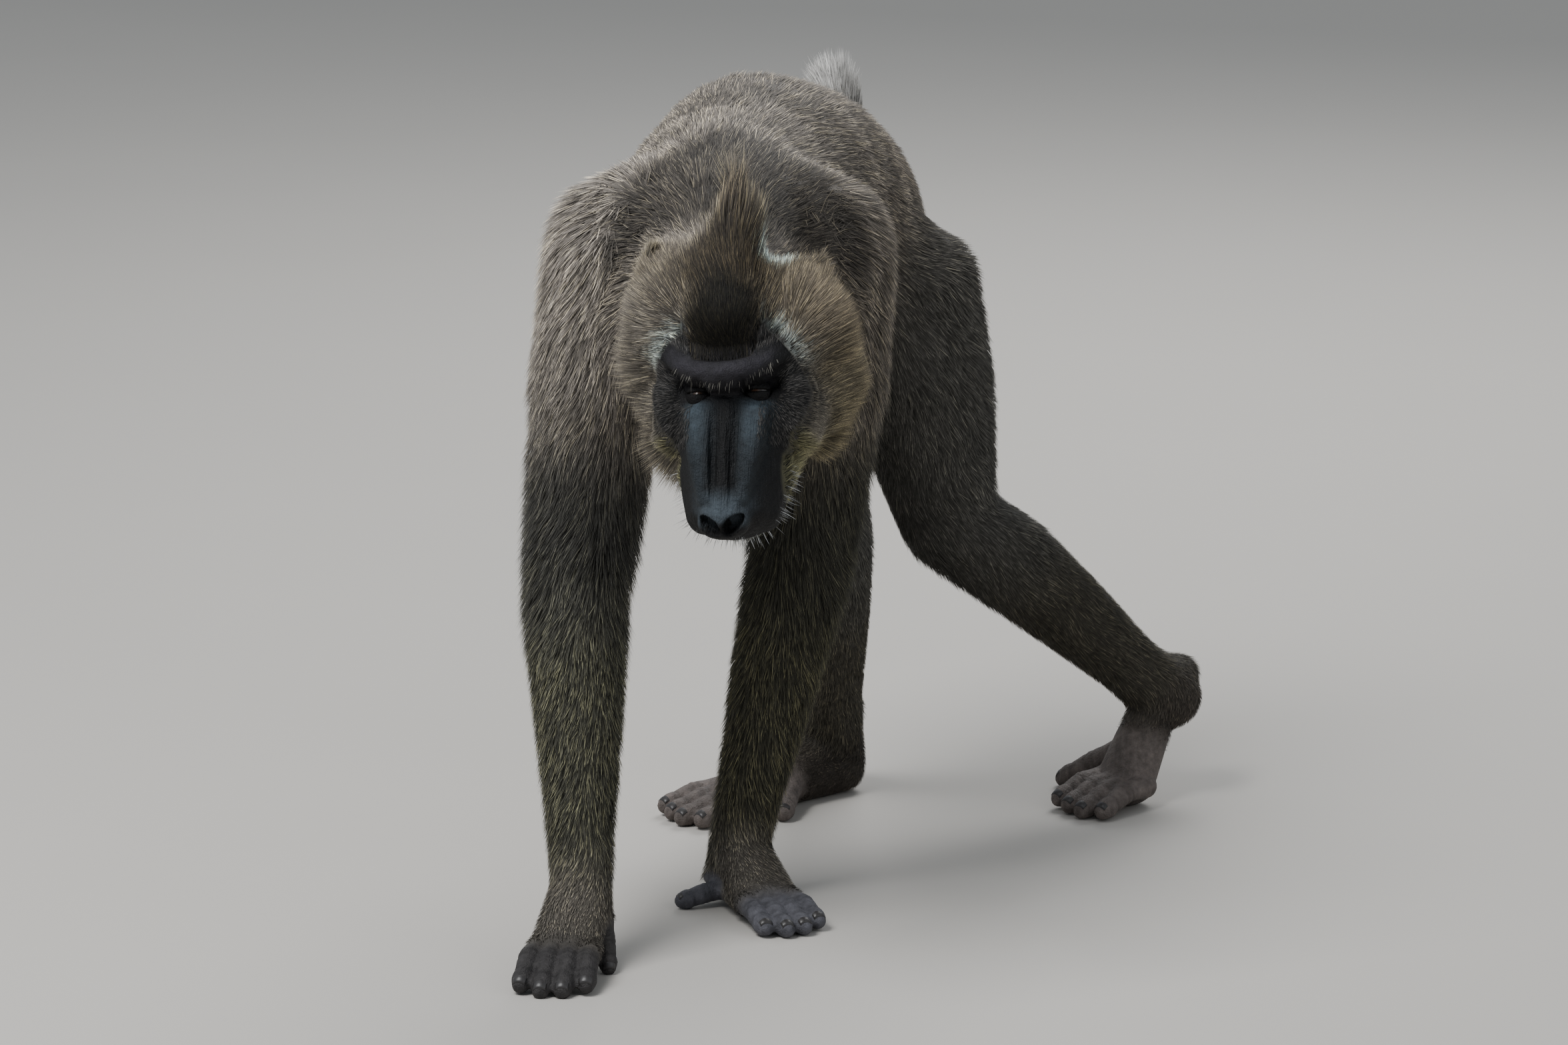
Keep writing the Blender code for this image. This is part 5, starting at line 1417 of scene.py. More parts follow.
@dataclass
class Skin:
    """The one skin over trunk, limbs, head, hands and feet."""

    voxel: float = 0.0015
    triangles: int = 186000
    crease_depth: float = 0.0005
    crease_shade: float = 0.26

    def build(self) -> bpy.types.Object:
        """Fuses all the flesh, smooths it, gives the face its relief and thins it where the coat covers it.

        Returns:
            The skin, still where the animal was measured.
        """
        head = Head()
        chains = Trunk().chains() + head.chains()
        for side in Side:
            chains += Arm(side).upper() + Arm(side).hand() + Leg(side).upper() + Leg(side).foot()
        bm = hulls(chains)
        core = BVHTree.FromBMesh(bm)
        for side in Side:
            append(bm, head.ear_leaf(side, core))
        skin = add_object("skin", bm)
        fuse = skin.modifiers.new("fuse", "REMESH")
        fuse.mode = "VOXEL"
        fuse.voxel_size = self.voxel
        settle(skin)
        self.smooth(skin)
        self.shape_face(skin)
        self.sink(skin)
        self.thin(skin)
        self.colour(skin)
        return skin

    def groups(self, skin: bpy.types.Object, name: str, values: np.ndarray, levels: int = 6) -> None:
        """Gives a skin a vertex group.

        Args:
            skin: The skin.
            name: The group's name.
            values: One weight for each vertex.
            levels: How many steps the weights are rounded to.
        """
        group = skin.vertex_groups.new(name=name)
        steps = np.round(values * levels).astype(int)
        for step in range(1, levels + 1):
            chosen = np.nonzero(steps == step)[0]
            if len(chosen):
                group.add(chosen.tolist(), step / levels, "REPLACE")

    def softness(self, points: np.ndarray) -> np.ndarray:
        """How much each point belongs to the furred body, where the flesh is smoothed most."""
        weights = MARKINGS.weights(points)
        bare = MARKINGS.bare(points, weights)
        from_face = np.linalg.norm(points - np.array(HEAD.on_muzzle(0, -0.03, 0.02)), axis=1)
        near_face = rise_between(-from_face, -0.11, -0.08)
        paws = rise_between(-points[:, 2], -0.10, -0.07)
        return np.clip((1 - bare) * (1 - near_face) * (1 - paws), 0, 1)

    def smooth(self, skin: bpy.types.Object) -> None:
        """Softens the joints between the hulls, most on the body."""
        points = points_of(skin.data)
        left, out, down = HEAD.coordinates(points).T
        snout = (
            rise_between(down, 0.012, 0.020)
            * rise_between(-down, -0.092, -0.078)
            * rise_between(-np.abs(left), -0.045, -0.035)
        )
        snout *= rise_between(out, -0.055, -0.040)
        self.groups(skin, "soft", np.maximum(self.softness(points), 0.17 * snout))
        for name, group, rounds in (("even", "", 3), ("soften", "soft", 70)):
            modifier = skin.modifiers.new(name, "SMOOTH")
            modifier.factor = 0.5
            modifier.iterations = rounds
            modifier.vertex_group = group
        settle(skin)

    def shape_face(self, skin: bpy.types.Object) -> None:
        """Presses orbits, mouth line, nostrils and the grooves of the muzzle into the skin."""
        points, normals = points_of(skin.data), normals_of(skin.data)
        left, out, down = HEAD.coordinates(points).T
        outward, bend = np.array(HEAD.out), left**2
        near = np.linalg.norm(HEAD.coordinates(points) - np.array((0, -0.04, 0.04)), axis=1) < 0.11
        moved = np.zeros_like(points)
        for side in Side:
            hollow = np.array(HEAD.on_muzzle(side.value * 0.0245, -0.018, 0.003))
            moved -= outward * (0.0040 * hump(np.linalg.norm(points - hollow, axis=1), 0.008))[:, None]
            groove = hump(np.abs(left) - (0.0078 - 0.02 * np.clip(down - 0.03, 0, 0.06)), 0.0019)
            groove *= (
                rise_between(down, 0.008, 0.024)
                * rise_between(-down, -0.094, -0.072)
                * rise_between(out, -0.034, -0.026)
                * 0.5
            )
            moved -= normals * (0.0022 * groove)[:, None]
        ridge = (
            0.0012
            * hump(down - 0.001 + 11.5 * bend, 0.0060)
            * hump(left, 0.046)
            * rise_between(out, -0.040, -0.024)
        )
        moved += normals * ridge[:, None]
        for shift, width, depth in ((0.0135, 0.0032, 0.0030), (-0.0125, 0.0030, 0.0020)):
            crease = (
                hump(down - shift + 12 * bend, width)
                * rise_between(-np.abs(left), -0.046, -0.040)
                * rise_between(out, -0.040, -0.024)
            )
            crease *= rise_between(np.abs(left), 0.022, 0.030) if shift > 0 else 1.0
            moved -= normals * (depth * crease)[:, None]
        lips = rise_between(down, MOUTH_CORNER - 0.004, MOUTH_CORNER + 0.006) * near
        moved -= normals * (0.0026 * hump(out - MOUTH_OUT, 0.0017) * lips)[:, None]
        rolls = hump(out - MOUTH_OUT - 0.0050, 0.0030) + hump(out - MOUTH_OUT + 0.0048, 0.0028)
        moved += normals * (0.0009 * rolls * lips)[:, None]
        points += moved * near[:, None]
        points = self.open_nostrils(points, near)
        points = self.open_eyes(points, near)
        write_points(skin.data, points)

    def open_nostrils(self, points: np.ndarray, near: np.ndarray) -> np.ndarray:
        """Sinks the two nostrils, which open down and ahead."""
        for side in Side:
            edge, way = MARKINGS.nostril(points, side)
            points = points - np.array(way) * (0.0100 * rise_between(-edge, -1.0, -0.66) * near)[:, None]
        return points

    def open_eyes(self, points: np.ndarray, near: np.ndarray) -> np.ndarray:
        """Sinks the skin behind each eyeball where the lids open."""
        for side in Side:
            centre = np.array(HEAD.eye(side))
            local = (points - centre) @ np.array([HEAD.left, HEAD.down, HEAD.out]).T
            edge = np.hypot(local[:, 0] / 0.0088, (local[:, 1] - 0.0016) / 0.0040)
            sunk = rise_between(-edge, -1.10, -0.85) * near * (local[:, 2] > -0.004)
            points = points - np.array(HEAD.out) * (sunk * np.maximum(local[:, 2] + 0.002, 0))[:, None]
        return points

    def sink(self, skin: bpy.types.Object) -> None:
        """Moves the skin in by the coat's depth and flattens it on the floor."""
        points, normals = points_of(skin.data), normals_of(skin.data)
        weights = MARKINGS.weights(points)
        depth = MARKINGS.mixed(weights, "depth") * (1 - MARKINGS.bare(points, weights))
        points -= normals * (depth + self.crease_depth * MARKINGS.knuckles(points))[:, None]
        points[:, 2] = np.maximum(points[:, 2], 0.0)
        write_points(skin.data, points)

    def thin(self, skin: bpy.types.Object) -> None:
        """Keeps the face and paws fine and thins the rest."""
        points = points_of(skin.data)
        skin.vertex_groups.clear()
        soft = self.softness(points)
        face = np.linalg.norm(points - np.array(HEAD.on_muzzle(0, -0.03, 0.04)), axis=1) < 0.075
        soft[face & (MARKINGS.mask(points) > 0.3)] = 0.0
        self.groups(skin, "thin", np.clip(soft + 0.12 * ~face, 0, 1))
        count = sum(len(face.vertices) - 2 for face in skin.data.polygons)
        reduce = skin.modifiers.new("thin", "DECIMATE")
        reduce.ratio = min(1.0, self.triangles / count)
        reduce.vertex_group = "thin"
        reduce.vertex_group_factor = 1.0
        settle(skin)
        skin.vertex_groups.clear()
        LOG.info("skin fused from %d triangles", count)

    def colour(self, skin: bpy.types.Object) -> None:
        """Writes the markings and bare places on the skin's vertices."""
        mesh, points = skin.data, points_of(skin.data)
        weights = MARKINGS.weights(points)
        shade = 1 - self.crease_shade * MARKINGS.knuckles(points)
        write_tints(mesh, MARKINGS.colours(points, weights) * shade[:, None])
        write_numbers(mesh, "bare", MARKINGS.bare(points, weights))
        snout = MARKINGS.mask(points) * rise_between(HEAD.coordinates(points)[:, 2], 0.010, 0.018)
        write_numbers(mesh, "snout", snout)
        mesh.shade_smooth()


@dataclass
class Roots:
    """Places on the skin where tufts grow."""

    points: np.ndarray
    normals: np.ndarray
    weights: np.ndarray
    tree: BVHTree

    @classmethod
    def scattered(cls, skin: bpy.types.Object, tree: BVHTree, seed: int) -> "Roots":
        """Scatters roots over the skin, as close as each zone's density says.

        Args:
            skin: The finished skin.
            tree: The skin's surface.
            seed: Of the random draw.

        Returns:
            The roots that aren't on bare skin.
        """
        mesh = skin.data
        mesh.calc_loop_triangles()
        corners = np.empty(len(mesh.loop_triangles) * 3, np.int32)
        mesh.loop_triangles.foreach_get("vertices", corners)
        corners = corners.reshape(-1, 3)
        points, normals = points_of(mesh), normals_of(mesh)
        first, second, third = (points[corners[:, index]] for index in range(3))
        area = np.linalg.norm(np.cross(second - first, third - first), axis=1) / 2
        middle = (first + second + third) / 3
        density = MARKINGS.mixed(MARKINGS.weights(middle), "density")
        draw = np.random.default_rng(seed)
        expected = area * density
        count = np.floor(expected + draw.random(len(expected))).astype(int)
        chosen = np.repeat(np.arange(len(count)), count)
        share = draw.random((len(chosen), 2))
        flip = share.sum(axis=1) > 1
        share[flip] = 1 - share[flip]
        mix = np.stack([1 - share.sum(axis=1), share[:, 0], share[:, 1]], axis=1)
        places = np.einsum("ij,ijk->ik", mix, points[corners[chosen]])
        facing = unit(np.einsum("ij,ijk->ik", mix, normals[corners[chosen]]))
        weights = MARKINGS.weights(places)
        furred = draw.random(len(places)) > MARKINGS.bare(places, weights) * 1.25
        furred &= places[:, 2] > 0.004
        return cls(places[furred], facing[furred], weights[furred], tree)

    def of_piece(self, name: str) -> "Roots":
        """The roots whose strongest zone belongs to a piece."""
        strongest = self.weights.argmax(axis=1)
        chosen = np.array([zone.piece == name for zone in MARKINGS.zones])[strongest]
        return Roots(self.points[chosen], self.normals[chosen], self.weights[chosen], self.tree)


@dataclass
class Tufts:
    """Tapered tufts as arrays: where each starts, bows and ends, and how wide it is."""

    start: np.ndarray
    bow: np.ndarray
    tip: np.ndarray
    facing: np.ndarray
    width: np.ndarray
    tint: np.ndarray
    chart: np.ndarray
    chance: np.ndarray
    stations: tuple = ((0.0, 0.80), (0.45, 1.0))
    flatness: float = 0.38
    gloss: float = 2.4
    patch: float = 0.003

    def build(self, name: str) -> bpy.types.Object:
        """Joins the tufts as one mesh of closed three-sided spikes.

        Args:
            name: The piece's name.

        Returns:
            The piece, still where the animal was measured.
        """
        count, rings = len(self.start), len(self.stations)
        size = rings * 3 + 1
        verts, strand = (np.empty((count, size, 3)) for _ in range(2))
        for ring, (share, breadth) in enumerate(self.stations):
            before = self.start + (self.bow - self.start) * share
            after = self.bow + (self.tip - self.bow) * share
            centre, ahead = before + (after - before) * share, unit(after - before)
            side = unit(np.cross(ahead, self.facing))
            up = np.cross(side, ahead)
            half = (self.width * breadth / 2)[:, None]
            verts[:, ring * 3] = centre - side * half
            verts[:, ring * 3 + 1] = centre + side * half
            verts[:, ring * 3 + 2] = centre + up * half * self.flatness * 2
            for corner, across in enumerate((-1.0, 1.0, 0.0)):
                strand[:, ring * 3 + corner] = np.stack(
                    [np.full(count, share), np.full(count, across), self.chance], axis=1
                )
        verts[:, -1] = self.tip
        strand[:, -1] = np.stack([np.ones(count), np.zeros(count), self.chance], axis=1)
        faces = [(0, 1, 2)]
        for ring in range(rings - 1):
            low, high = ring * 3, ring * 3 + 3
            for one, two in ((0, 1), (1, 2), (2, 0)):
                faces += [(low + one, high + two, low + two), (low + one, high + one, high + two)]
        last = (rings - 1) * 3
        faces += [(last + two, last + one, size - 1) for one, two in ((0, 1), (1, 2), (2, 0))]
        return self.mesh_piece(name, verts, strand, np.array(faces))

    def shading(self, verts: np.ndarray, faces: np.ndarray) -> np.ndarray:
        """The normal that light sees at each face's corners: near the skin's own where the face is turned its way.

        Args:
            verts: Corners of each tuft.
            faces: The triangles of one tuft.

        Returns:
            One normal for each corner of each face.
        """
        corners = verts[:, faces]
        own = np.cross(corners[:, :, 1] - corners[:, :, 0], corners[:, :, 2] - corners[:, :, 0])
        own /= np.maximum(np.linalg.norm(own, axis=2, keepdims=True), 1e-12)
        turned = np.einsum("cfi,ci->cf", own, self.facing)
        mixed = own + self.facing[:, None, :] * (self.gloss * np.clip(turned + 0.2, 0, 1))[:, :, None]
        return np.repeat(unit(mixed.reshape(-1, 3)), 3, axis=0)

    def mesh_piece(self, name: str, verts: np.ndarray, strand: np.ndarray, faces: np.ndarray) -> bpy.types.Object:
        """Writes the arrays as a mesh with its markings, strands and bake map.

        Args:
            name: The piece's name.
            verts: Corners of each tuft.
            strand: Share of length, place across and chance at each corner.
            faces: The triangles of one tuft.

        Returns:
            The object.
        """
        count, size = verts.shape[:2]
        corners = (faces[None] + (np.arange(count) * size)[:, None, None]).reshape(-1)
        mesh = bpy.data.meshes.new(name)
        mesh.vertices.add(count * size)
        mesh.vertices.foreach_set("co", verts.astype(np.float32).ravel())
        mesh.loops.add(len(corners))
        mesh.loops.foreach_set("vertex_index", corners.astype(np.int32))
        mesh.polygons.add(len(corners) // 3)
        mesh.polygons.foreach_set("loop_start", np.arange(0, len(corners), 3, dtype=np.int32))
        mesh.update(calc_edges=True)
        mesh.shade_smooth()
        mesh.normals_split_custom_set(self.shading(verts, faces).tolist())
        write_tints(mesh, np.repeat(self.tint, size, axis=0))
        strands = mesh.attributes.new("strand", "FLOAT_VECTOR", "POINT")
        strands.data.foreach_set("vector", strand.astype(np.float32).ravel())
        patch = self.chart[:, None, :] + np.stack([strand[:, :, 1] * 0.5, strand[:, :, 0] - 0.5], axis=2) * self.patch
        chart = mesh.uv_layers.new(name="OFBake")
        chart.data.foreach_set("uv", patch.reshape(-1, 2)[corners].astype(np.float32).ravel())
        obj = bpy.data.objects.new(name, mesh)
        bpy.context.scene.collection.objects.link(obj)
        return obj


def tube_chart(points: np.ndarray, start: Vector, end: Vector) -> np.ndarray:
    """Unrolls places round an axis into a square.

    Args:
        points: The places.
        start: Where the axis starts.
        end: Where it ends.

    Returns:
        Two shares for each place: the angle round the axis and the way along it.
    """
    axes = np.array(axes_along(end - start, Vector((0.3, 1, 0.2))))
    local = (points - np.array(start)) @ axes
    angle = np.arctan2(local[:, 1], local[:, 0]) / (2 * math.pi) + 0.5
    low, high = local[:, 2].min(), local[:, 2].max()
    return np.stack([0.01 + 0.98 * angle, 0.01 + 0.98 * (local[:, 2] - low) / max(high - low, 1e-6)], axis=1)


@dataclass
class CoatPiece:
    """The coat of one part of the animal."""

    name: str
    start: Vector
    end: Vector
    slot: str = "olive_coat"
    seed: int = 1
    clump: int = 9
    pull: float = 0.26
    wander: float = 0.22
    most: int = 195000
    clearance: float = 0.0022
    root_depth: float = 0.0012
    lowest: float = 0.0012
    long: bool = False

    def build(self, roots: Roots, material: bpy.types.Material) -> bpy.types.Object:
        """Grows the tufts of this part.

        Args:
            roots: All the roots on the skin.
            material: The hair's finish.

        Returns:
            The finished piece.
        """
        own = roots.of_piece(self.name)
        stations = ((0.0, 0.85), (0.5, 1.0)) if self.long else ((0.0, 1.0),)
        each = 4 + 6 * (len(stations) - 1)
        draw = np.random.default_rng(self.seed)
        if len(own.points) * each > self.most:
            kept = np.sort(draw.permutation(len(own.points))[: self.most // each])
            LOG.info("%s: %d roots thinned to %d", self.name, len(own.points), len(kept))
            own = Roots(own.points[kept], own.normals[kept], own.weights[kept], own.tree)
        tufts = self.grow(own, draw, stations)
        return place_piece(tufts.build(self.name), self.slot, material)

    def grow(self, own: Roots, draw: np.random.Generator, stations: tuple) -> Tufts:
        """Bends each tuft along the coat's lie and draws neighbours into locks.

        Args:
            own: This part's roots.
            draw: The random draw.
            stations: Where the rings of a tuft are, and their share of its width.

        Returns:
            The tufts.
        """
        points, normals, weights, count = own.points, own.normals, own.weights, len(own.points)
        way = MARKINGS.ways(points, weights)
        way += np.stack([ripple(points, 0.035, seed) for seed in (11, 12, 13)], axis=1) * self.wander
        way += draw.normal(size=(count, 3)) * self.wander * 0.6
        flat = unit(way - normals * np.einsum("ij,ij->i", way, normals)[:, None])
        length = MARKINGS.mixed(weights, "hair") * draw.uniform(0.72, 1.18, count)
        bare = MARKINGS.bare(points, weights)
        length *= 1 - 0.65 * bare
        length *= 1 - 0.65 * self.beside_eyes(points) * (1 - rise_between(MARKINGS.lobes(points), 1.0, 1.75))
        standing = weights @ np.array([zone.lie is Lie.TOWARD for zone in MARKINGS.zones], float)
        upright = np.arcsin(np.clip(np.einsum("ij,ij->i", unit(way), normals), -1, 1)) * standing
        rise = np.maximum(MARKINGS.mixed(weights, "rise"), upright) * draw.uniform(0.7, 1.3, count)
        first, second = rise + 0.22, rise - 0.12
        start = points - normals * self.root_depth
        bow = start + raised(flat, normals, first) * (length * 0.5)[:, None]
        tip = bow + raised(flat, normals, second) * (length * 0.5)[:, None]
        tip, bow = self.gather(points, bow, tip, draw)
        tip, bow = self.lift(own.tree, bow, tip)
        tip[:, 2] = np.maximum(tip[:, 2], self.lowest)
        width = MARKINGS.mixed(weights, "width") * draw.uniform(0.75, 1.3, count)
        pale = MARKINGS.mixed(weights, "pale")
        chance = np.clip(draw.beta(1.6, 1.8, count) * (0.62 + 0.5 * pale), 0, 1)
        tint = MARKINGS.colours(points + draw.normal(size=(count, 3)) * 0.0018, weights)
        tint *= 1 + (rise_between(chance, 0.70, 0.85) * pale)[:, None] * np.array((0.06, 0.03, -0.17))
        return Tufts(start, bow, tip, normals, width, tint, tube_chart(points, self.start, self.end), chance, stations)

    def beside_eyes(self, points: np.ndarray) -> np.ndarray:
        """1 on the front of the cheeks, where the hair is short, and 0 elsewhere."""
        place = HEAD.coordinates(points)
        left, out, down = place.T
        front = rise_between(out, -0.075, -0.055) * rise_between(-np.linalg.norm(place, axis=1), -0.11, -0.09)
        front *= rise_between(-down, -0.030, -0.010) * rise_between(np.abs(left), 0.022, 0.030)
        return front

    def gather(self, points: np.ndarray, bow: np.ndarray, tip: np.ndarray, draw: np.random.Generator) -> tuple:
        """Draws the tips of neighbours together into locks.

        Args:
            points: The roots.
            bow: The tufts' middles.
            tip: The tufts' tips.
            draw: The random draw.

        Returns:
            The moved tips and middles.
        """
        leaders = draw.permutation(len(points))[: max(1, len(points) // self.clump)]
        tree = KDTree(len(leaders))
        for index, leader in enumerate(leaders):
            tree.insert(points[leader], index)
        tree.balance()
        nearest = leaders[np.array([tree.find(point)[1] for point in points])]
        strength = (self.pull * draw.uniform(0.3, 1.0, len(points)))[:, None]
        shift = tip[nearest] - tip
        return tip + shift * strength, bow + shift * strength * 0.3

    def lift(self, tree: BVHTree, bow: np.ndarray, tip: np.ndarray) -> tuple:
        """Raises tips that a hollow of the body would swallow.

        Args:
            tree: The skin's surface.
            bow: The tufts' middles.
            tip: The tufts' tips.

        Returns:
            The moved tips and middles.
        """
        shift = np.zeros_like(tip)
        for index, place in enumerate(tip):
            found, normal, _, _ = tree.find_nearest(place)
            height = (Vector(place) - found).dot(normal)
            if height < self.clearance:
                shift[index] = normal * (self.clearance - height)
        return tip + shift, bow + shift * 0.5


def coat_pieces() -> list[CoatPiece]:
    """Every piece of the coat, with the axis that its chart is unrolled round."""
    made = [
        CoatPiece("coat_mantle", Vector((-0.046, -0.06, 0.46)), Vector((-0.040, 0.20, 0.46)), seed=21),
        CoatPiece("coat_back", Vector((-0.040, 0.18, 0.47)), Vector((0.06, 0.42, 0.42)), seed=22),
        CoatPiece(
            "tail_tuft", along(BONES.tail_root, BONES.tail_tip(), 0.2), BONES.tail_tip(), slot="pale_hair", seed=23,
            clump=12, pull=0.2, long=True,
        ),
        CoatPiece("coat_head", HEAD.on_skull(0, -0.03, -0.14), HEAD.on_skull(0, -0.03, 0.0), seed=24),
        CoatPiece(
            "crest", HEAD.on_skull(0, 0.0, -0.06), HEAD.on_skull(0, 0.066, -0.141), seed=25, clump=6, pull=0.3,
            wander=0.12, long=True,
        ),
        CoatPiece(
            "coat_brow", HEAD.on_skull(0, -0.03, -0.10), HEAD.on_skull(0, -0.03, 0.02), seed=26, clump=6, pull=0.25
        ),
        CoatPiece("beard", HEAD.on_muzzle(0, -0.07, 0.0), HEAD.on_muzzle(0, -0.07, 0.09), seed=27, clump=6, pull=0.25),
    ]
    for side in Side:
        name = side.name.lower()
        made += [
            CoatPiece(
                f"coat_arm_{name}", BONES.shoulder(side), BONES.wrist(side), slot="dark_coat", seed=30 + side.value,
                most=172000,
            ),
            CoatPiece(
                f"coat_leg_{name}", BONES.hip(side), BONES.ankle(side), slot="dark_coat", seed=40 + side.value,
                most=160000,
            ),
            CoatPiece(
                f"ruff_{name}", HEAD.on_skull(0, -0.03, -0.12), HEAD.on_skull(0, -0.03, 0.0), seed=50 + side.value,
                clump=5, pull=0.22, wander=0.14, most=175000,
            ),
        ]
    return made


@dataclass
class Eyes:
    """Brown eyes under heavy lids."""

    radius: float = 0.0092
    lid_gap: float = 0.0003
    lid_thickness: float = 0.0011

    def gaze(self) -> Vector:
        """The way that the eyes look."""
        return (HEAD.out * 0.80 + HEAD.down * 0.60).normalized()

    def ball(self, side: Side, material: bpy.types.Material) -> bpy.types.Object:
        """An eyeball with a raised cornea, whose rings of colour are written on its vertices.

        Args:
            side: The animal's side.
            material: The eye's finish.

        Returns:
            The finished piece.
        """
        gaze, centre = self.gaze(), HEAD.eye(side)
        bm = bmesh.new()
        matrix = Matrix.Translation(centre) @ axes_along(gaze).to_4x4()
        bmesh.ops.create_uvsphere(bm, u_segments=48, v_segments=36, radius=self.radius - 0.0004, matrix=matrix)
        for vert in bm.verts:
            angle = (vert.co - centre).angle(gaze)
            vert.co += gaze * 0.0009 * math.exp(-((angle / 0.42) ** 4))
        eye = add_object(f"eyeball_{side.name.lower()}", bm)
        points = points_of(eye.data)
        angle = np.arccos(np.clip(unit(points - np.array(centre)) @ np.array(gaze), -1, 1))
        tints = np.tile(np.array(tone(30, 24, 20)), (len(points), 1))
        tint_toward(tints, tone(74, 46, 26), rise_between(-angle, -0.62, -0.55))
        tint_toward(tints, tone(5, 4, 4), rise_between(-angle, -0.24, -0.20))
        write_tints(eye.data, tints)
        eye.data.shade_smooth()
        place_piece(eye, "eye", material)
        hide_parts(f"eye_{side.name.lower()}")
        return eye

    def lids(self, material: bpy.types.Material) -> bpy.types.Object:
        """The upper and lower lids of both eyes.

        Args:
            material: The skin's finish.

        Returns:
            The finished piece.
        """
        bm = bmesh.new()
        for side in Side:
            for upper in (True, False):
                append(bm, self.lid(side, upper))
        lids = add_object("eyelids", bm)
        count = len(lids.data.vertices)
        write_tints(lids.data, np.tile(np.array(tone(15, 14, 15)), (count, 1)))
        write_numbers(lids.data, "bare", np.ones(count))
        write_numbers(lids.data, "snout", np.zeros(count))
        lids.data.shade_smooth()
        return place_piece(lids, "black_skin", material)

    def lid(self, side: Side, upper: bool) -> bmesh.types.BMesh:
        """One lid: a thick patch of a ball round the eye, from its rim back into the orbit.

        Args:
            side: The animal's side.
            upper: Whether it is the upper lid.

        Returns:
            The lid as a closed mesh.
        """
        bm = bmesh.new()
        bmesh.ops.create_grid(bm, x_segments=26, y_segments=12, size=0.5)
        centre, ball = HEAD.eye(side), self.radius + self.lid_gap
        rim = -0.05 if upper else 0.25
        for vert in bm.verts:
            turn = vert.co.x * 2 * 1.12
            share = vert.co.y + 0.5
            drop = rim * max(0.0, math.cos(vert.co.x * math.pi)) ** 0.8
            tilt = drop + (1.25 - drop) * share
            vertical = -math.sin(tilt) if upper else math.sin(tilt)
            thick = self.lid_thickness * math.sin(min(1.0, share * 6 + 0.25) * math.pi / 2)
            level = HEAD.left * math.sin(turn) * math.cos(tilt) + HEAD.out * math.cos(turn) * math.cos(tilt)
            vert.co = centre + (level + HEAD.down * vertical).normalized() * (ball + thick)
        bmesh.ops.recalc_face_normals(bm, faces=bm.faces)
        outward = sum((face.normal.dot(face.calc_center_median() - centre) for face in bm.faces), 0.0)
        if outward < 0:
            bmesh.ops.reverse_faces(bm, faces=bm.faces)
        bmesh.ops.solidify(bm, geom=bm.faces[:], thickness=self.lid_thickness)
        bmesh.ops.recalc_face_normals(bm, faces=bm.faces)
        return bm


@dataclass
class Nails:
    """The dark nails of fingers and toes."""

    length: float = 0.0085

    def build(self, material: bpy.types.Material) -> list[bpy.types.Object]:
        """The nails of each hand and foot, joined.

        Args:
            material: The nails' finish.

        Returns:
            Four finished pieces.
        """
        made = []
        for name, limbs in (("hand", Arm), ("foot", Leg)):
            for side in Side:
                bm = bmesh.new()
                for digit in limbs(side).digits():
                    append(bm, self.nail(digit))
                piece = add_object(f"nails_{name}_{side.name.lower()}", bm)
                piece.data.shade_smooth()
                made.append(place_piece(piece, "paw_skin", material))
        return made

    def nail(self, digit: Digit) -> bmesh.types.BMesh:
        """One nail: a thick arched plate on the back of a digit's end.

        Args:
            digit: The finger or toe.

        Returns:
            The nail as a closed mesh.
        """
        ahead = (digit.tip - along(digit.root, digit.tip, 0.5, (0, 0, digit.arch))).normalized()
        across = ahead.cross(Vector((0, 0, 1))).normalized()
        up = across.cross(ahead)
        bm = bmesh.new()
        bmesh.ops.create_grid(bm, x_segments=8, y_segments=6, size=0.5)
        centre, radius = digit.tip - ahead * self.length * 0.15, digit.radius * 0.86
        for vert in bm.verts:
            turn, share = vert.co.x * 1.7, vert.co.y
            narrow = 1.0 - 0.35 * max(0.0, share) ** 2 - 0.15 * max(0.0, -share)
            place = across * math.sin(turn * narrow) * radius + up * math.cos(turn * narrow) * (radius + 0.0003)
            vert.co = centre + place + ahead * share * self.length - up * 0.0016 * max(0.0, share) ** 2 * 4
        bmesh.ops.recalc_face_normals(bm, faces=bm.faces)
        if sum(face.normal.dot(up) for face in bm.faces) < 0:
            bmesh.ops.reverse_faces(bm, faces=bm.faces)
        bmesh.ops.solidify(bm, geom=bm.faces[:], thickness=0.0009)
        bmesh.ops.recalc_face_normals(bm, faces=bm.faces)
        return bm


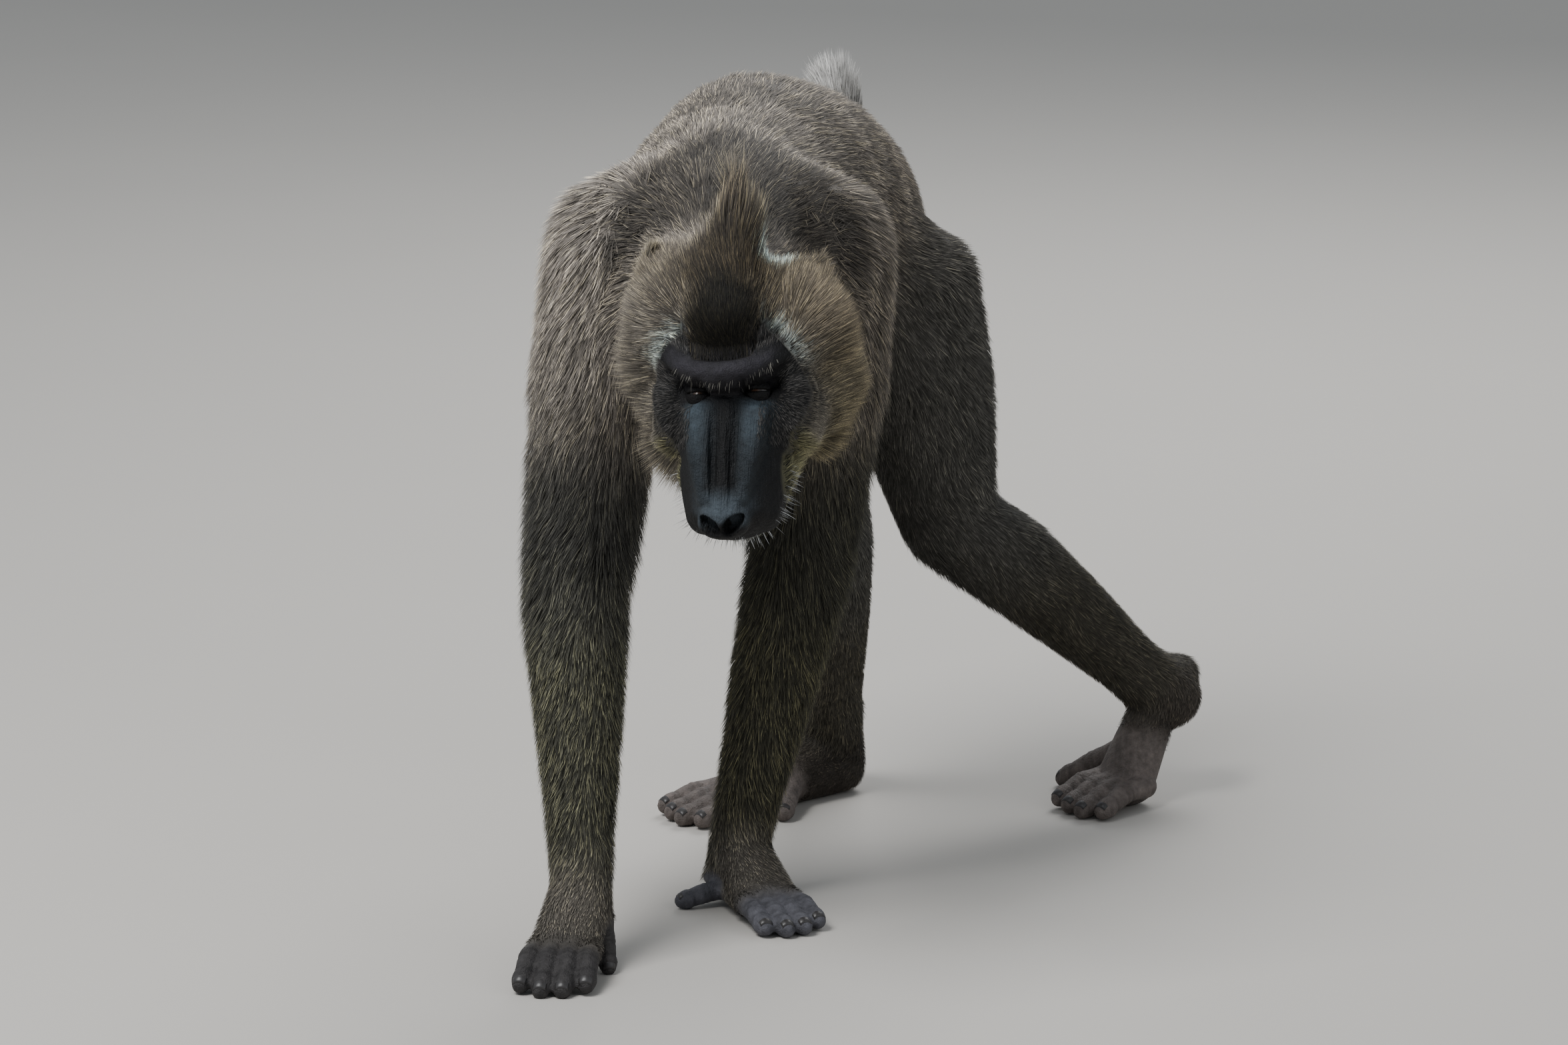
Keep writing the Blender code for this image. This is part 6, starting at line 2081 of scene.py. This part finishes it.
@dataclass
class Bristles:
    """The stiff pale hairs of lips and brow, and the short hairs of the black face."""

    seed: int = 71
    lip_tries: int = 125
    brow_tries: int = 80
    face_tries: int = 14000

    def hairs(
        self, name: str, starts: list, ways: list, facing: list, lengths: list, width: float, tint: tuple,
        material: bpy.types.Material,
    ) -> bpy.types.Object:
        """Joins some hairs as a piece.

        Args:
            name: The piece's name.
            starts: Roots.
            ways: The way of each hair.
            facing: The skin's normals there.
            lengths: Of the hairs.
            width: Of the hairs.
            tint: Their colour.
            material: Their finish.

        Returns:
            The finished piece.
        """
        starts, ways, facing, lengths = (np.array(rows) for rows in (starts, ways, facing, lengths))
        count = len(starts)
        draw = np.random.default_rng(self.seed)
        ways = unit(unit(ways) + draw.normal(size=(count, 3)) * 0.08)
        bow = starts + ways * (lengths * 0.5)[:, None] + facing * (lengths * 0.06)[:, None]
        tip = starts + ways * lengths[:, None]
        chart = tube_chart(starts, HEAD.on_muzzle(0, -0.05, -0.03), HEAD.on_muzzle(0, -0.05, 0.11))
        tints = np.tile(np.array(tint), (count, 1))
        tufts = Tufts(
            starts - ways * 0.001, bow, tip, facing, np.full(count, width), tints, chart, draw.uniform(0.3, 0.9, count)
        )
        return place_piece(tufts.build(name), "pale_hair", material)

    def lips(self, tree: BVHTree, material: bpy.types.Material) -> bpy.types.Object:
        """White bristles along both lips, spreading out and down.

        Args:
            tree: The skin's surface.
            material: Their finish.

        Returns:
            The finished piece.
        """
        draw = np.random.default_rng(self.seed + 1)
        starts, ways, facing, lengths = [], [], [], []
        for side in Side:
            for _ in range(self.lip_tries):
                down = draw.uniform(0.050, 0.112)
                out = MOUTH_OUT + draw.uniform(-0.010, 0.014)
                inner = HEAD.on_muzzle(0, out, min(down, 0.088))
                share = max(0.0, (down - 0.088) / 0.024)
                outward = HEAD.left * side.value
                way = (outward * (1 - share) + HEAD.down * share * 1.3 + outward * 0.1).normalized()
                hit, normal, _, _ = tree.ray_cast(inner + way * 0.08, -way)
                if hit is None:
                    continue
                starts.append(hit)
                facing.append(normal)
                ways.append(normal * 0.8 + way * 0.5 + HEAD.down * 0.45 - HEAD.out * 0.15)
                lengths.append(draw.uniform(0.005, 0.012))
        return self.hairs("lip_bristles", starts, ways, facing, lengths, 0.00033, tone(182, 184, 184), material)

    def brow(self, tree: BVHTree, material: bpy.types.Material) -> bpy.types.Object:
        """Short pale hairs that hang from the brow over the eyes.

        Args:
            tree: The skin's surface.
            material: Their finish.

        Returns:
            The finished piece.
        """
        draw = np.random.default_rng(self.seed + 2)
        starts, ways, facing, lengths = [], [], [], []
        for _ in range(self.brow_tries):
            left = draw.uniform(-0.038, 0.038)
            down = 0.0085 - 13 * left**2 + draw.uniform(-0.0015, 0.001)
            hit, normal, _, _ = tree.ray_cast(HEAD.on_muzzle(left, 0.06, down), -HEAD.out)
            if hit is None:
                continue
            starts.append(hit)
            facing.append(normal)
            ways.append(normal * 0.6 + HEAD.down * 0.9)
            lengths.append(draw.uniform(0.003, 0.006) if draw.random() < 0.94 else 0.011)
        return self.hairs("brow_hairs", starts, ways, facing, lengths, 0.0003, tone(122, 119, 112), material)

    def lobes(self, tree: BVHTree, material: bpy.types.Material) -> bpy.types.Object:
        """Short pale hairs that spread from the eyes over the black lobes of the face.

        Args:
            tree: The skin's surface.
            material: Their finish.

        Returns:
            The finished piece.
        """
        draw = np.random.default_rng(self.seed + 3)
        starts, ways, facing = [], [], []
        for _ in range(self.face_tries):
            left, down = draw.uniform(-0.062, 0.062), draw.uniform(-0.036, 0.044)
            hit, normal, _, _ = tree.ray_cast(HEAD.on_muzzle(left, 0.06, down), -HEAD.out)
            if hit is None or abs(left) < 0.024 or abs(down - 0.0005 + 11.5 * left**2) < 0.0075:
                continue
            rim = MARKINGS.lobes(np.array([hit]))[0]
            if not 0.30 < rim < 1.08 or draw.random() > 0.35 + 0.65 * rim:
                continue
            away = hit - HEAD.on_muzzle(math.copysign(0.020, left), -0.030, 0.006)
            away = (away - normal * away.dot(normal)).normalized()
            starts.append(hit)
            facing.append(normal)
            ways.append(away + normal * 0.42)
        lengths = draw.uniform(0.0022, 0.0042, len(starts))
        return self.hairs("face_hairs", starts, ways, facing, lengths, 0.00028, tone(66, 64, 62), material)


@dataclass
class Studio:
    """A pale floor, soft light and the camera at the photograph's angle."""

    elevation: float = math.radians(13)
    distance: float = 5.5
    target: Vector = field(default_factory=lambda: Vector((0, 0, 0.30)))
    lens: float = 36 * 5.5 * 2150 / 2352
    lamps: tuple = (
        ("key", (-1.3, -1.0, 2.6), 76.0, 1.4),
        ("fill", (1.9, -1.6, 1.3), 8.0, 1.8),
        ("rim", (0.6, 2.2, 2.0), 40.0, 1.4),
    )

    def build(self) -> None:
        """Makes the floor, the lights and the camera."""
        bm = bmesh.new()
        bmesh.ops.create_grid(bm, x_segments=2, y_segments=2, size=7.0)
        floor = add_object("floor", bm)
        paint = PlainFinish("floor_paint", tone(196, 192, 186), roughness=0.85, grain=3.0, spread=0.02)
        floor.data.materials.append(paint.material())
        world = bpy.data.worlds.new("studio")
        world.use_nodes = True
        sky = world.node_tree.nodes["Background"].inputs
        sky["Color"].default_value = (0.80, 0.86, 0.92, 1.0)
        sky["Strength"].default_value = 0.44
        bpy.context.scene.world = world
        for name, place, power, size in self.lamps:
            light = bpy.data.lights.new(name, "AREA")
            light.energy, light.size = power, size
            lamp = bpy.data.objects.new(name, light)
            lamp.location = place
            lamp.rotation_euler = (self.target - Vector(place)).to_track_quat("-Z", "Y").to_euler()
            bpy.context.scene.collection.objects.link(lamp)
        self.camera()

    def camera(self) -> None:
        """Sets the camera where the photograph was taken from."""
        data = bpy.data.cameras.new("camera")
        data.lens, data.sensor_width = self.lens, 36.0
        camera = bpy.data.objects.new("camera", data)
        away = Vector((0, -math.cos(self.elevation), math.sin(self.elevation)))
        camera.location = self.target - BOX_MIDDLE + away * self.distance
        camera.rotation_euler = (math.pi / 2 - self.elevation, 0, 0)
        bpy.context.scene.collection.objects.link(camera)
        bpy.context.scene.camera = camera


def eye_material() -> bpy.types.Material:
    """A wet eye whose colours come from its marking."""
    net = Net("drill_eye")
    shader = net.shader(0.35)
    net.link(net.attribute("marking").outputs["Color"], shader.inputs["Base Color"])
    shader.inputs["Coat Weight"].default_value = 0.35
    shader.inputs["Coat Roughness"].default_value = 0.12
    return net.material


def main() -> None:
    """Builds the animal, part by part, and the studio round it."""
    logging.basicConfig(level=logging.INFO, format="%(message)s")
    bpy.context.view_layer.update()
    skin = Skin().build()
    places = [vert.co.copy() for vert in skin.data.vertices]
    tree = BVHTree.FromPolygons(places, [tuple(face.vertices) for face in skin.data.polygons])
    roots = Roots.scattered(skin, tree, 5)
    hide = SkinFinish().material()
    place_piece(skin, "black_skin", hide)
    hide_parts(*[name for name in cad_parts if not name.startswith("eye_")])
    coat = CoatFinish("grizzled_coat").material()
    white = CoatFinish("pale_hair", roughness=0.6, root_shade=0.62, tip_light=1.2).material()
    for piece in coat_pieces():
        piece.build(roots, white if piece.slot == "pale_hair" else coat)
    eyes = Eyes()
    wet = eye_material()
    for side in Side:
        eyes.ball(side, wet)
    eyes.lids(hide)
    Nails().build(PlainFinish("nail_horn", tone(52, 50, 50), roughness=0.38, grain=900.0, spread=0.3).material())
    bristles = Bristles()
    bristles.lips(tree, white)
    bristles.brow(tree, white)
    bristles.lobes(tree, white)
    Studio().build()


if __name__ == "__main__":
    main()
